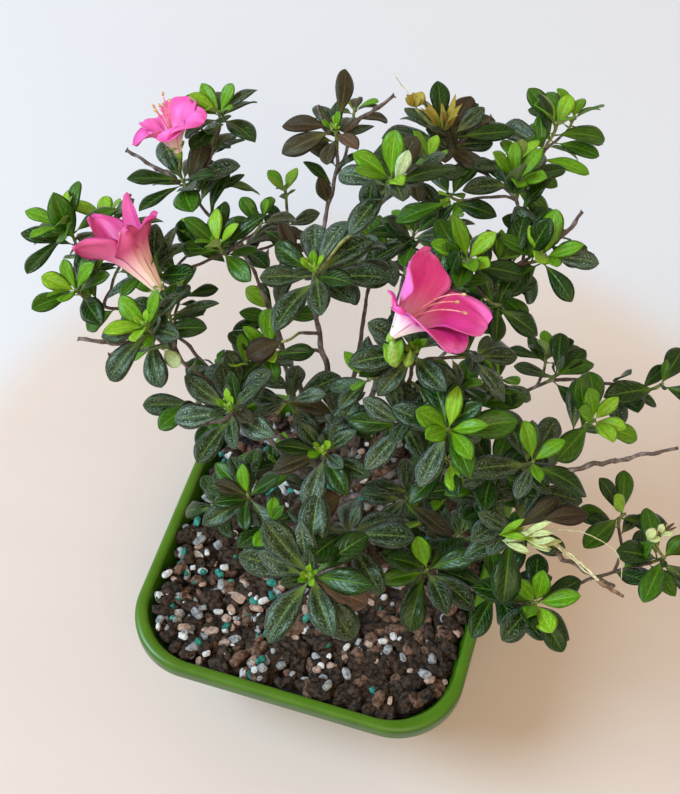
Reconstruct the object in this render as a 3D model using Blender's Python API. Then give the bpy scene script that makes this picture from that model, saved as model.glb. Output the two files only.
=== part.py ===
"""A potted azalea bonsai: a glazed square pot, its soil, a short trunk, the boughs that leave it, and the
masses of leaves that the boughs carry. Metres, +Z up. The origin is the middle of the pot's flat underside,
and X and Y lie square to the pot's sides."""

import math
from collections import namedtuple

import bmesh
import bpy
from mathutils import Vector, noise
from mathutils.bvhtree import BVHTree

MM = 0.001
GAP = 0.3 * MM  # between solids that touch
UP = Vector((0, 0, 1))

# The pot: a square with round corners, a plain lip, and walls that lean in to a smaller flat foot.
POT_SIDE = 150 * MM
POT_CORNER = 30 * MM
POT_HEIGHT = 60 * MM
FOOT_SIDE = 104 * MM
LIP_DEPTH = 9 * MM
LIP_PROUD = 3 * MM
RIM_WIDTH = 5.2 * MM
WALL = 4.5 * MM
FLOOR = 8 * MM
EDGE = 1.2 * MM  # how far its sharp edges are cut back
WALL_CURVE = 0.85  # 1 is a straight wall, and less swells it out
CORNER_STEPS = 6
DRAIN_RADIUS = 6.5 * MM
DRAIN_SPACING = 44 * MM
DRAIN_SIDES = 20

# The soil fills the pot to a little below its rim.
SOIL_BELOW_RIM = 8 * MM
SOIL_TOP = POT_HEIGHT - SOIL_BELOW_RIM
SOIL_DIP = 1.5 * MM
SOIL_PROFILE = ((0.80, 0.5), (0.55, 0.75), (0.32, 0.0))  # share of the way out, and of the dip

# The trunk: it leans a little to the right and back, and flares into its roots.
TRUNK_FOOT = Vector((2 * MM, -6 * MM, SOIL_TOP + GAP))
TRUNK_TOP = Vector((8 * MM, 4 * MM, SOIL_TOP + 72 * MM))
TRUNK_BEND = Vector((-3.5 * MM, 2 * MM, 0))
TRUNK_FOOT_RADIUS = 5.4 * MM
TRUNK_TOP_RADIUS = 3.4 * MM
FLARE = 5.5 * MM
FLARE_HEIGHT = 6 * MM
FLARE_ROOTS = 5
ROOT_SWELL = 0.28  # of the flare's radius
ROOT_TURN = 0.4  # radians
TRUNK_RINGS = 13
TRUNK_RING_CROWDING = 1.6  # 1 spaces the rings evenly, and more crowds them towards the foot
TRUNK_SIDES = 15

BOUGH_TIP_RADIUS = 1.0 * MM
BOUGH_RINGS = 8
BOUGH_SIDES = 7
BOUGH_STEPS = 200  # of its path, when its ends are fitted to what it joins
BOUGH_PROBES = 28  # points round its cut end, there

MASS_POINTS = 84
MASS_FLATNESS = 0.76  # height over width
MASS_UNEVENNESS = 0.17
MASS_LUMPS = 2.1

# bearing in degrees from +X towards +Y, then in mm: reach out from the pot's middle, height above the soil,
# and radius.
Mass = namedtuple("Mass", "bearing reach height radius finish")
MASSES = {
    "back_left_tip": Mass(130, 111, 182, 23, "young_leaf"),
    "back_left_bloom": Mass(141, 103, 164, 26, "old_leaf"),
    "back_left_inner": Mass(133, 80, 140, 23, "old_leaf"),
    "back_left_wisp": Mass(119, 109, 133, 19, "young_leaf"),
    "left_tip": Mass(165, 127, 160, 23, "young_leaf"),
    "left_low": Mass(175, 103, 150, 25, "young_leaf"),
    "left_bloom": Mass(168, 77, 164, 24, "old_leaf"),
    "left_inner": Mass(150, 62, 170, 23, "young_leaf"),
    "left_under": Mass(160, 86, 116, 26, "old_leaf"),
    "left_front_tip": Mass(194, 62, 175, 26, "young_leaf"),
    "left_front_inner": Mass(228, 39, 158, 27, "old_leaf"),
    "low_left": Mass(196, 42, 56, 29, "old_leaf"),
    "front_upper": Mass(282, 30, 144, 25, "old_leaf"),
    "front_tip": Mass(283, 72, 126, 28, "old_leaf"),
    "centre": Mass(132, 20, 197, 28, "old_leaf"),
    "top_left": Mass(104, 61, 214, 25, "old_leaf"),
    "top": Mass(74, 39, 221, 25, "young_leaf"),
    "centre_bloom": Mass(-7, 33, 184, 25, "old_leaf"),
    "back_top": Mass(78, 92, 192, 25, "old_leaf"),
    "back_inner": Mass(80, 76, 150, 25, "old_leaf"),
    "back_right_top": Mass(54, 86, 197, 25, "young_leaf"),
    "back_right_tip": Mass(63, 126, 187, 23, "young_leaf"),
    "right_top": Mass(35, 81, 190, 25, "young_leaf"),
    "right_top_inner": Mass(34, 54, 199, 23, "young_leaf"),
    "right_upper": Mass(-24, 58, 172, 25, "young_leaf"),
    "right_middle": Mass(-13, 82, 157, 25, "young_leaf"),
    "right_shoulder": Mass(6, 98, 149, 25, "young_leaf"),
    "right_back_low": Mass(31, 94, 119, 25, "old_leaf"),
    "right_back_tip": Mass(18, 127, 139, 22, "old_leaf"),
    "right_tip": Mass(-1, 122, 124, 24, "old_leaf"),
    "right_far_tip": Mass(-9, 137, 121, 18, "old_leaf"),
    "front_right_bloom": Mass(-23, 89, 136, 26, "old_leaf"),
    "front_right_low": Mass(-28, 105, 112, 24, "young_leaf"),
    "front_right_inner": Mass(-39, 74, 109, 27, "old_leaf"),
    "back_low": Mass(95, 98, 108, 28, "old_leaf"),
    "back_left_low": Mass(128, 72, 99, 27, "old_leaf"),
    "back_right_low": Mass(60, 84, 112, 27, "old_leaf"),
    "inner_left": Mass(196, 50, 132, 26, "old_leaf"),
    "inner_right": Mass(10, 54, 143, 26, "old_leaf"),
}

# start is the height above the soil at which it leaves the trunk, and radius its foot's, both in mm. It ends
# where it enters the mass. out and up are how far along the way there its bend lies, level and upright.
Bough = namedtuple("Bough", "mass start radius out up")
BOUGHS = {
    "low_left": Bough("low_left", 17, 1.5, 0.45, 0.55),
    "front": Bough("front_tip", 27, 1.8, 0.50, 0.62),
    "front_right": Bough("front_right_inner", 34, 1.9, 0.55, 0.60),
    "back_left_low": Bough("back_left_low", 30, 1.6, 0.50, 0.60),
    "back_low": Bough("back_low", 38, 1.7, 0.50, 0.65),
    "right": Bough("right_back_low", 44, 1.8, 0.55, 0.55),
    "left": Bough("left_under", 42, 1.8, 0.55, 0.55),
    "back_right": Bough("back_right_low", 52, 1.7, 0.50, 0.60),
    "back_left": Bough("back_left_inner", 54, 1.8, 0.50, 0.60),
    "right_upper": Bough("right_middle", 50, 1.8, 0.50, 0.60),
    "left_front": Bough("left_front_inner", 56, 1.6, 0.45, 0.60),
    "front_upper": Bough("front_upper", 60, 1.4, 0.60, 0.50),
    "back_top": Bough("back_inner", 59, 1.8, 0.70, 0.50),
    "centre_right": Bough("centre_bloom", 62, 1.6, 1.00, 0.36),
    "leader": Bough("centre", 72, 2.2, 0.45, 0.50),
}

FINISHES = {  # base colour, roughness
    "glaze": ((0.10, 0.27, 0.02), 0.22),
    "soil": ((0.050, 0.032, 0.026), 0.95),
    "bark": ((0.105, 0.075, 0.055), 0.85),
    "old_leaf": ((0.018, 0.062, 0.026), 0.45),
    "young_leaf": ((0.110, 0.300, 0.022), 0.40),
}


def clear_scene():
    for obj in list(bpy.data.objects):
        bpy.data.objects.remove(obj)


def finish(name):
    """The Principled material of that name."""
    material = bpy.data.materials.get(name)
    if material is None:
        colour, roughness = FINISHES[name]
        material = bpy.data.materials.new(name)
        material.use_nodes = True
        shader = material.node_tree.nodes["Principled BSDF"]
        shader.inputs["Base Color"].default_value = (*colour, 1)
        shader.inputs["Roughness"].default_value = roughness
        shader.inputs["Metallic"].default_value = 0
        material.diffuse_color = (*colour, 1)
    return material


def add_object(name, bm, finish_name, parent, smooth_deg, place=(0, 0, 0)):
    """An object from the bmesh, with its faces turned outwards."""
    bmesh.ops.recalc_face_normals(bm, faces=bm.faces)
    mesh = bpy.data.meshes.new(name)
    bm.to_mesh(mesh)
    bm.free()
    mesh.shade_smooth()
    mesh.set_sharp_from_angle(angle=math.radians(smooth_deg))
    mesh.materials.append(finish(finish_name))
    obj = bpy.data.objects.new(name, mesh)
    obj.location = place
    obj.parent = parent
    bpy.context.scene.collection.objects.link(obj)
    return obj


def bridged(rings):
    """A bmesh with a wall through the rings and a flat cap on the first and the last."""
    bm = bmesh.new()
    loops = [[bm.verts.new(point) for point in ring] for ring in rings]
    for lower, upper in zip(loops, loops[1:]):
        for i in range(len(lower)):
            j = (i + 1) % len(lower)
            bm.faces.new((lower[i], lower[j], upper[j], upper[i]))
    bm.faces.new(loops[0][::-1])
    bm.faces.new(loops[-1])
    return bm


def toward(angle):
    """The level direction at that angle from +X towards +Y, in radians."""
    return Vector((math.cos(angle), math.sin(angle), 0))


# Pot and soil


def round_square(side, corner, height):
    """A level ring of points: a square with round corners."""
    points = []
    straight = side / 2 - corner
    for quarter in range(4):
        turn = quarter * math.pi / 2
        middle = toward(turn + math.pi / 4) * math.sqrt(2) * straight
        for step in range(CORNER_STEPS + 1):
            angle = turn + step / CORNER_STEPS * math.pi / 2
            points.append(middle + toward(angle) * corner + UP * height)
    return points


def wall_side(height):
    """The side of the leaning outer wall at that height, without the lip."""
    share = height / (POT_HEIGHT - LIP_DEPTH)
    return FOOT_SIDE + (POT_SIDE - 2 * LIP_PROUD - FOOT_SIDE) * share**WALL_CURVE


def pot_ring(side, height):
    return round_square(side, POT_CORNER * side / POT_SIDE, height)


def hollow_side(height):
    """The side of the pot's hollow at that height."""
    rim = POT_SIDE - 2 * RIM_WIDTH
    below_lip = min(wall_side(min(height, POT_HEIGHT - LIP_DEPTH)) - 2 * WALL, rim)
    share = max(0.0, (height - (POT_HEIGHT - LIP_DEPTH)) / LIP_DEPTH)
    return below_lip + (rim - below_lip) * share


def make_pot(parent):
    """Level rings up the outside, over the rim and down the inside to the floor."""
    lip_foot = POT_HEIGHT - LIP_DEPTH
    rim_side = POT_SIDE - 2 * RIM_WIDTH
    outer = [(FOOT_SIDE - 2 * EDGE, 0), (FOOT_SIDE, EDGE)]
    outer += [(wall_side(lip_foot * share), lip_foot * share) for share in (0.25, 0.5, 0.75, 1)]
    outer += [(POT_SIDE - EDGE, lip_foot + EDGE), (POT_SIDE, lip_foot + 2 * EDGE)]
    outer += [(POT_SIDE, POT_HEIGHT - EDGE), (POT_SIDE - 2 * EDGE, POT_HEIGHT)]
    inner = [(rim_side + 2 * EDGE, POT_HEIGHT)]
    down = [POT_HEIGHT - EDGE] + [FLOOR + (lip_foot - FLOOR) * share for share in (1, 0.6, 0.25, 0)]
    inner += [(hollow_side(height), height) for height in down]
    pot = add_object("pot", bridged([pot_ring(*size) for size in outer + inner]), "glaze", parent, 35)
    for i, x in enumerate((-DRAIN_SPACING / 2, DRAIN_SPACING / 2)):
        cut_drain(pot, i, x, parent)
    return pot


def cut_drain(pot, index, x, parent):
    """One round drain hole through the pot's floor."""
    bm = bmesh.new()
    size = {"radius1": DRAIN_RADIUS, "radius2": DRAIN_RADIUS, "depth": 3 * FLOOR}
    bmesh.ops.create_cone(bm, cap_ends=True, segments=DRAIN_SIDES, **size)
    cutter = add_object(f"drain_cutter_{index}", bm, "glaze", parent, 35, (x, 0, FLOOR / 2))
    cutter.hide_render = True
    cutter.display_type = "WIRE"
    cut = pot.modifiers.new("drain", "BOOLEAN")
    cut.operation = "DIFFERENCE"
    cut.object = cutter


def make_soil(parent):
    """The root ball, GAP clear of the pot, with a top that dips gently round the trunk's level place."""
    levels = (FLOOR + GAP, (FLOOR + SOIL_TOP) / 2, SOIL_TOP - SOIL_DIP)
    rings = [pot_ring(hollow_side(height) - 2.4 * GAP, height) for height in levels]
    edge = rings[-1]
    for share, dip in SOIL_PROFILE:
        rings.append([Vector((p.x * share, p.y * share, SOIL_TOP - SOIL_DIP * dip)) for p in edge])
    return add_object("soil", bridged(rings), "soil", parent, 40)


# Wood: a path is a list of (centre, radius)


def ring_round(centre, direction, radius, sides, roots=0.0):
    """Points round a limb. roots is how much its outline swells into FLARE_ROOTS surface roots."""
    across = direction.cross(toward(1.3)).normalized()
    other = direction.cross(across).normalized()
    points = []
    for side in range(sides):
        angle = 2 * math.pi * side / sides
        swell = 1 + roots * math.cos(FLARE_ROOTS * angle + ROOT_TURN)
        points.append(centre + (across * math.cos(angle) + other * math.sin(angle)) * radius * swell)
    return points


def trunk_axis(share):
    """The trunk's centre at that share of its height."""
    return TRUNK_FOOT.lerp(TRUNK_TOP, share) + TRUNK_BEND * math.sin(math.pi * share)


def trunk_radius(share):
    height = share * (TRUNK_TOP.z - TRUNK_FOOT.z)
    plain = TRUNK_FOOT_RADIUS + (TRUNK_TOP_RADIUS - TRUNK_FOOT_RADIUS) * share
    return plain + FLARE * math.exp(-height / FLARE_HEIGHT)


def make_trunk(parent):
    """Level rings, so that the foot is a flat cut at the soil."""
    rings = []
    for i in range(TRUNK_RINGS):
        share = (i / (TRUNK_RINGS - 1)) ** TRUNK_RING_CROWDING
        radius = trunk_radius(share)
        roots = ROOT_SWELL * (radius / (TRUNK_FOOT_RADIUS + FLARE)) ** 2
        rings.append(ring_round(trunk_axis(share), UP, radius, TRUNK_SIDES, roots))
    return add_object("trunk", bridged(rings), "bark", parent, 60)


def mass_centre(mass):
    level = toward(math.radians(mass.bearing)) * mass.reach * MM
    return level + UP * (SOIL_TOP + mass.height * MM)


def bough_path(bough):
    """The whole path, from the trunk's axis to the middle of the mass it enters."""
    share = bough.start * MM / (TRUNK_TOP.z - SOIL_TOP)
    foot = trunk_axis(share)
    tip = mass_centre(MASSES[bough.mass])
    bend = foot + (tip - foot) * Vector((bough.out, bough.out, bough.up))
    path = []
    for step in range(BOUGH_STEPS + 1):
        t = step / BOUGH_STEPS
        centre = foot * (1 - t) ** 2 + bend * 2 * t * (1 - t) + tip * t * t
        path.append((centre, bough.radius * MM * (1 - t) + BOUGH_TIP_RADIUS * t))
    return path


def direction_at(path, i):
    before, after = path[max(i - 1, 0)][0], path[min(i + 1, len(path) - 1)][0]
    return (after - before).normalized()


def is_clear(path, i, trees):
    """Whether the limb's end, cut square at that step, is GAP outside each tree's solid."""
    centre, radius = path[i]
    for point in [centre, *ring_round(centre, direction_at(path, i), radius, BOUGH_PROBES)]:
        for tree in trees:
            near, normal, _, distance = tree.find_nearest(point)
            if distance < 1.2 * GAP or (point - near).dot(normal) < 0:
                return False
    return True


def solid_tree(obj):
    """A search tree of an object's faces, in world space."""
    bpy.context.view_layer.update()
    points = [obj.matrix_world @ v.co for v in obj.data.vertices]
    return BVHTree.FromPolygons(points, [tuple(p.vertices) for p in obj.data.polygons])


def make_bough(name, bough, trunk_tree, mass_tree, parent):
    """A tapering limb from just outside the trunk to just outside its mass."""
    path = bough_path(bough)
    first = next(i for i in range(BOUGH_STEPS) if is_clear(path, i, [trunk_tree]))
    last = next(i for i in range(BOUGH_STEPS, 0, -1) if is_clear(path, i, [mass_tree]))
    rings = []
    for ring in range(BOUGH_RINGS):
        i = round(first + (last - first) * ring / (BOUGH_RINGS - 1))
        rings.append(ring_round(path[i][0], direction_at(path, i), path[i][1], BOUGH_SIDES))
    return add_object("bough_" + name, bridged(rings), "bark", parent, 60)


# Masses of leaves


def extent(mass, way):
    """How far the plain mass reaches in that direction."""
    return mass.radius * MM / Vector((way.x, way.y, way.z / MASS_FLATNESS)).length


def planes_round(name):
    """(normal, distance) of each plane that keeps the mass clear of the other masses and of the wood."""
    mass = MASSES[name]
    centre = mass_centre(mass)
    planes = []
    for other_name, other in MASSES.items():
        if other_name == name:
            continue
        apart = mass_centre(other) - centre
        way = apart.normalized()
        mine, theirs = extent(mass, way), extent(other, way)
        planes.append((way, apart.length * mine / (mine + theirs) - GAP / 2))
    for bough in BOUGHS.values():
        if bough.mass != name:
            for point, radius in bough_path(bough)[::4]:
                away = point - centre
                planes.append((away.normalized(), away.length - radius - 1.5 * GAP))
    return planes


def sphere_points(count):
    """Points spread evenly over a sphere of radius 1, along a spiral."""
    golden = math.pi * (3 - math.sqrt(5))
    for i in range(count):
        z = 1 - (2 * i + 1) / count
        level = math.sqrt(1 - z * z)
        yield Vector((level * math.cos(golden * i), level * math.sin(golden * i), z))


def make_mass(name, parent):
    """An uneven, flattened ball, cut flat where it meets its neighbours."""
    mass = MASSES[name]
    centre = mass_centre(mass)
    planes = planes_round(name)
    bm = bmesh.new()
    for point in sphere_points(MASS_POINTS):
        bm.verts.new(point)
    bmesh.ops.convex_hull(bm, input=bm.verts)
    for vert in bm.verts:
        lump = 1 + MASS_UNEVENNESS * noise.noise(vert.co * MASS_LUMPS + centre / (10 * MM))
        place = Vector((vert.co.x, vert.co.y, vert.co.z * MASS_FLATNESS)) * mass.radius * MM * lump
        for way, limit in planes:
            out = place.dot(way)
            if out > limit:
                place *= limit / out
        vert.co = place
    return add_object("leaves_" + name, bm, mass.finish, parent, 180, centre)


def main():
    clear_scene()
    parent = bpy.data.objects.new("azalea_bonsai", None)
    bpy.context.scene.collection.objects.link(parent)
    make_pot(parent)
    make_soil(parent)
    trunk_tree = solid_tree(make_trunk(parent))
    masses = {name: make_mass(name, parent) for name in MASSES}
    for name, bough in BOUGHS.items():
        make_bough(name, bough, trunk_tree, solid_tree(masses[bough.mass]), parent)


main()
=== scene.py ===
"""The looks of a potted azalea bonsai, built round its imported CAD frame.

Bark goes over the limbs, and twigs grow on from them to every mass of leaves. The twigs carry whorls of
leaves, three flowers and what is left of older ones. Loose grains lie on the soil, and the pot is glazed.
Metres, in the frame's own axes. Everything random is seeded by what it makes."""

import math
import random
from collections import defaultdict, namedtuple

import bmesh
import bpy
import numpy as np
from mathutils import Matrix, Vector, noise


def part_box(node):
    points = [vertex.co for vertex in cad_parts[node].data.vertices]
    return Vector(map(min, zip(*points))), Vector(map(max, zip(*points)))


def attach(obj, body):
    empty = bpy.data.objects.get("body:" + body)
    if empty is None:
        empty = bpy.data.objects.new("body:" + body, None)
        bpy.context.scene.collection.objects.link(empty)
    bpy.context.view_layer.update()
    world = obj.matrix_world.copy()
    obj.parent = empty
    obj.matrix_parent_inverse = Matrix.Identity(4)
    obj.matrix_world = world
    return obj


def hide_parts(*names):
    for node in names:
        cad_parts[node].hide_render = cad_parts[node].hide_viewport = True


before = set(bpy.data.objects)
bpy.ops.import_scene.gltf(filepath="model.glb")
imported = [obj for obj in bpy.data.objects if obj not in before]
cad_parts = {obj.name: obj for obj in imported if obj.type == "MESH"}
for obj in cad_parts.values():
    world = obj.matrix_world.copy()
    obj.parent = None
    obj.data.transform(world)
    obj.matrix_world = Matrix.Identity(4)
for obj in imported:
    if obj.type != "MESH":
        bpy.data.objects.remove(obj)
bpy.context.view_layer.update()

MM = 0.001
UP = Vector((0, 0, 1))
LIGHT_WAY = Vector((-0.28, -0.38, 0.88))  # the way that leaves turn their upper sides
GOLDEN_ANGLE = math.pi * (3 - math.sqrt(5))

# The camera looks down on the plant, as a person standing at a table does.
CAMERA_PLACE = Vector((0.0913, -0.2787, 0.6316))
CAMERA_AZIMUTH = 17.15
CAMERA_ELEVATION = 56.64
CAMERA_LENS = 63.5

TABLE_MIDDLE = Vector((0.010, 0.020, 0))
TABLE_RADIUS = 0.226
TABLE_BLUR = 0.022

SOIL_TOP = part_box("soil")[1].z
POT_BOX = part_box("pot")

# Each mass's main spray: how many fresh and old leaves, which kind the old ones are, how many side sprays,
# whether it ends in a bud, its turn in degrees, and its leaves' size.
Spray = namedtuple("Spray", "fresh old kind sides bud turn size")
SPRAYS = {
    "back_left_tip": Spray(5, 8, "deep", 0, False, 20, 0.92),
    "back_left_bloom": Spray(0, 9, "deep", 1, False, 60, 1.05),
    "back_left_inner": Spray(0, 6, "bronze", 1, False, 0, 0.85),
    "back_left_wisp": Spray(4, 0, "deep", 0, False, 40, 0.75),
    "left_tip": Spray(5, 6, "green", 1, False, 80, 1.15),
    "left_low": Spray(5, 6, "green", 1, False, 10, 1.0),
    "left_bloom": Spray(0, 6, "deep", 1, False, 30, 0.95),
    "left_inner": Spray(5, 4, "green", 1, False, 0, 0.92),
    "left_under": Spray(1, 6, "green", 1, False, 70, 0.90),
    "left_front_tip": Spray(4, 8, "hairy", 1, True, 50, 1.0),
    "left_front_inner": Spray(0, 8, "hairy", 1, True, 15, 0.98),
    "low_left": Spray(1, 8, "deep", 3, False, 0, 1.0),
    "front_upper": Spray(0, 8, "hairy", 1, True, 30, 0.92),
    "front_tip": Spray(0, 7, "hairy", 1, True, 0, 1.28),
    "centre": Spray(0, 9, "hairy", 1, True, 10, 1.05),
    "top_left": Spray(0, 6, "bronze", 1, True, 90, 0.78),
    "top": Spray(4, 6, "hairy", 1, False, 70, 0.98),
    "centre_bloom": Spray(0, 8, "hairy", 3, True, 20, 0.98),
    "back_top": Spray(0, 9, "bronze", 2, False, 0, 0.98),
    "back_inner": Spray(1, 7, "deep", 3, False, 45, 0.90),
    "back_right_top": Spray(5, 6, "deep", 2, False, 30, 0.95),
    "back_right_tip": Spray(4, 4, "green", 1, False, 60, 1.0),
    "right_top": Spray(5, 7, "deep", 2, False, 0, 1.0),
    "right_top_inner": Spray(5, 5, "deep", 3, False, 35, 1.0),
    "right_upper": Spray(5, 6, "deep", 1, False, 75, 1.0),
    "right_middle": Spray(3, 5, "hairy", 0, False, 32, 0.98),
    "right_shoulder": Spray(5, 4, "green", 0, False, 55, 0.95),
    "right_back_low": Spray(0, 4, "deep", 1, False, 0, 0.85),
    "right_back_tip": Spray(0, 3, "deep", 0, False, 30, 0.95),
    "right_tip": Spray(1, 4, "deep", 0, False, 65, 0.92),
    "right_far_tip": Spray(0, 5, "deep", 0, False, 15, 1.05),
    "front_right_bloom": Spray(0, 7, "hairy", 1, False, 40, 1.05),
    "front_right_low": Spray(5, 5, "deep", 0, False, 0, 1.0),
    "front_right_inner": Spray(1, 8, "deep", 1, False, 25, 1.0),
    "back_low": Spray(1, 8, "green", 3, False, 0, 0.90),
    "back_left_low": Spray(2, 4, "deep", 0, False, 50, 0.90),
    "back_right_low": Spray(1, 6, "green", 2, False, 80, 0.90),
    "inner_left": Spray(0, 5, "deep", 1, False, 5, 0.92),
    "inner_right": Spray(1, 5, "deep", 1, False, 60, 0.92),
}
# How far some sprays' tips are from the middle of their masses, in mm as the camera sees them.
SHIFTS = {
    "left_tip": (5, -5, 0),
    "low_left": (7, 2, 0),
    "centre": (5, -5, 0),
    "back_left_wisp": (4, -2, 0),
    "right_tip": (-4, -7, 0),
}
# Sprays whose twigs are still green for their whole length.
GREEN_STEMS = {"top", "back_right_tip", "left_inner", "right_upper"}
# Sprays that grow from these limbs or sprays alone. The others take the nearest wood.
PARENTS = {
    "top": ("bough_leader", "centre"),
    "top_left": ("bough_leader", "centre", "bough_back_top"),
    "left_front_tip": ("bough_left_front", "bough_leader"),
}

# Short bare twigs, which have lost their leaves: from and to, in mm from the spray's tip to the right,
# upwards and nearer as the camera sees it.
Bare = namedtuple("Bare", "mass start end")
BARE_TWIGS = (
    Bare("left_front_tip", (-2, -6, -3), (-25, -4, -1)),
    Bare("left_front_tip", (-3, -8, -3), (-14, -10, -2)),
    Bare("top_left", (3, 0, -3), (21, 13, -2)),
    Bare("top_left", (-2, -1, -2), (-6, 9, 0)),
    Bare("back_top", (6, -2, -3), (18, 8, -2)),
    Bare("back_left_bloom", (-1, -2, -3), (-22, 11, -2)),
    Bare("right_top", (4, 5, -4), (14, 16, -5)),
    Bare("right_top", (9, -1, -4), (18, 0, -4)),
    Bare("front_right_bloom", (8, -4, -3), (36, -20, -3)),
    Bare("left_front_inner", (4, -2, -3), (-9, -6, -2)),
    Bare("right_middle", (8, -5, -7), (53, 4, -10)),
)

# A tier of a whorl: its leaves' angle from the spray's axis in degrees, their length, and how far below the
# tip they leave the stem.
Tier = namedtuple("Tier", "angle length drop")
OUTER = Tier(86, 22 * MM, 4.5 * MM)
MIDDLE = Tier(66, 20 * MM, 2.5 * MM)
INNER = Tier(38, 12 * MM, 0.8 * MM)
FRESH = Tier(50, 15.5 * MM, 1.0 * MM)

TWIG_RADIUS = 1.0 * MM
TWIG_TIP_RADIUS = 0.65 * MM
TWIG_STEP = 2 * MM
TWIG_SIDES = 8


def seeded(*words):
    """A random generator that depends on these words alone."""
    return random.Random("-".join(str(word) for word in words))


# Meshes. A Part is a list of points, faces of four corners, a map place for each corner, and a slot for each
# face. Its map holds one leaf or petal: across and along its upper side, with the lower side next to it.

Part = namedtuple("Part", "points faces maps slots")


def ring_faces(rings, count):
    """Faces along a tube of rings of count points, and quads across its two ends."""
    i, k = np.meshgrid(np.arange(rings - 1), np.arange(count), indexing="ij")
    i, k = i.ravel(), k.ravel()
    after = (k + 1) % count
    walls = np.stack([i * count + k, (i + 1) * count + k, (i + 1) * count + after, i * count + after], 1)
    k = np.arange(count // 2 - 1)
    end = np.stack([k, k + 1, count - 2 - k, count - 1 - k], 1)
    return np.concatenate([walls, end, end[:, ::-1] + (rings - 1) * count])


def tube_part(rings, slot=0):
    """A closed tube through rings of points, given as an array (rings, points round, 3)."""
    faces = ring_faces(rings.shape[0], rings.shape[1])
    return Part(rings.reshape(-1, 3), faces, np.zeros((len(faces), 4, 2)), np.full(len(faces), slot))


def sheet_part(upper, lower, along):
    """A thin closed sheet. upper and lower are arrays (rings, points across, 3) that share their edges."""
    rings, across = upper.shape[:2]
    loop = np.concatenate([upper, lower[:, -2:0:-1]], 1)
    count = loop.shape[1]
    faces = ring_faces(rings, count)
    spread = np.linspace(0, 1, across)
    u = np.concatenate([spread, spread[-2:0:-1]])
    under = np.ones(len(faces), int)
    under[: (rings - 1) * count] = np.tile(np.arange(count) >= across - 1, rings - 1)
    # Both sides' faces split into triangles along the same diagonals, so that they don't cross.
    faces = np.where(under[:, None], np.roll(faces, 1, 1), faces)
    maps = np.stack([u[faces % count], along[faces // count] * 0.5 + 0.5 * under[:, None]], -1)
    return Part(loop.reshape(-1, 3), faces, maps, under)


def moved(part, matrix, place):
    """The part turned and scaled by a 3 by 3 matrix, then moved."""
    return part._replace(points=part.points @ np.array(matrix).T + np.array(place))


def add_object(name, data):
    """A new object in the scene."""
    obj = bpy.data.objects.new(name, data)
    bpy.context.scene.collection.objects.link(obj)
    return obj


def make_piece(name, parts, materials, mapped=False, smooth=True):
    """One joined object that rides on the root body."""
    starts = np.cumsum([0] + [len(part.points) for part in parts[:-1]])
    points = np.concatenate([part.points for part in parts])
    faces = np.concatenate([part.faces + start for part, start in zip(parts, starts)])
    slots = np.concatenate([part.slots for part in parts])
    mesh = bpy.data.meshes.new(name)
    mesh.vertices.add(len(points))
    mesh.vertices.foreach_set("co", points.astype(np.float32).ravel())
    mesh.loops.add(faces.size)
    mesh.loops.foreach_set("vertex_index", faces.astype(np.int32).ravel())
    mesh.polygons.add(len(faces))
    mesh.polygons.foreach_set("loop_start", np.arange(0, faces.size, 4, dtype=np.int32))
    mesh.polygons.foreach_set("material_index", slots.astype(np.int32))
    if mapped:
        maps = np.concatenate([part.maps for part in parts])
        mesh.uv_layers.new(name="OFBake").data.foreach_set("uv", maps.astype(np.float32).ravel())
    for material in materials:
        mesh.materials.append(material)
    mesh.update(calc_edges=True)
    if smooth:
        mesh.shade_smooth()
    else:
        mesh.shade_flat()
    obj = add_object(name, mesh)
    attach(obj, "root")
    return obj


def unit(vector):
    return Vector(vector).normalized()


def basis(forward, upper):
    """Columns for something made along +X with its upper side towards +Z."""
    x = unit(forward)
    z = unit(Vector(upper) - x * x.dot(upper))
    return np.array(Matrix((x, z.cross(x), z)).transposed())


def bezier(a, b, c, d, steps):
    """steps + 1 points on the curve from a to d that sets out towards b and comes in from c."""
    points = []
    for i in range(steps + 1):
        t = i / steps
        s = 1 - t
        points.append(a * s**3 + b * 3 * s * s * t + c * 3 * s * t * t + d * t**3)
    return points


RELIEF_DRIFT = 0.35  # how fast a tube's relief changes along it, against round it
RELIEF_NOISE = (0.6, 2.0, 3)  # how much finer octaves weigh, the step between octaves, and their number


def tube(points, radii, sides, relief=0.0, grain=1.0):
    """A tube part through the points. Noise raises and lowers it by the share relief of its radius."""
    points = [Vector(p) for p in points]
    side = unit(points[1] - points[0]).orthogonal().normalized()
    rings = np.empty((len(points), sides, 3))
    for i, (point, radius) in enumerate(zip(points, radii)):
        forward = unit(points[min(i + 1, len(points) - 1)] - points[max(i - 1, 0)])
        side = unit(side - forward * side.dot(forward))
        other = forward.cross(side)
        for k in range(sides):
            turn = 2 * math.pi * k / sides
            way = side * math.cos(turn) + other * math.sin(turn)
            swell = 1
            if relief:
                spot = (point * RELIEF_DRIFT + way * radius) * (grain / MM)
                swell += relief * noise.fractal(spot, *RELIEF_NOISE)
            rings[i, k] = point + way * radius * swell
    return tube_part(rings[:, ::-1])


# Materials


# A leaf or petal's map runs from one edge of the sheet to the other, and twice from foot to tip: over the
# lower half of the map for its upper side, and over the upper half for its lower side.
MAP_SIDES = 1.9999


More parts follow.
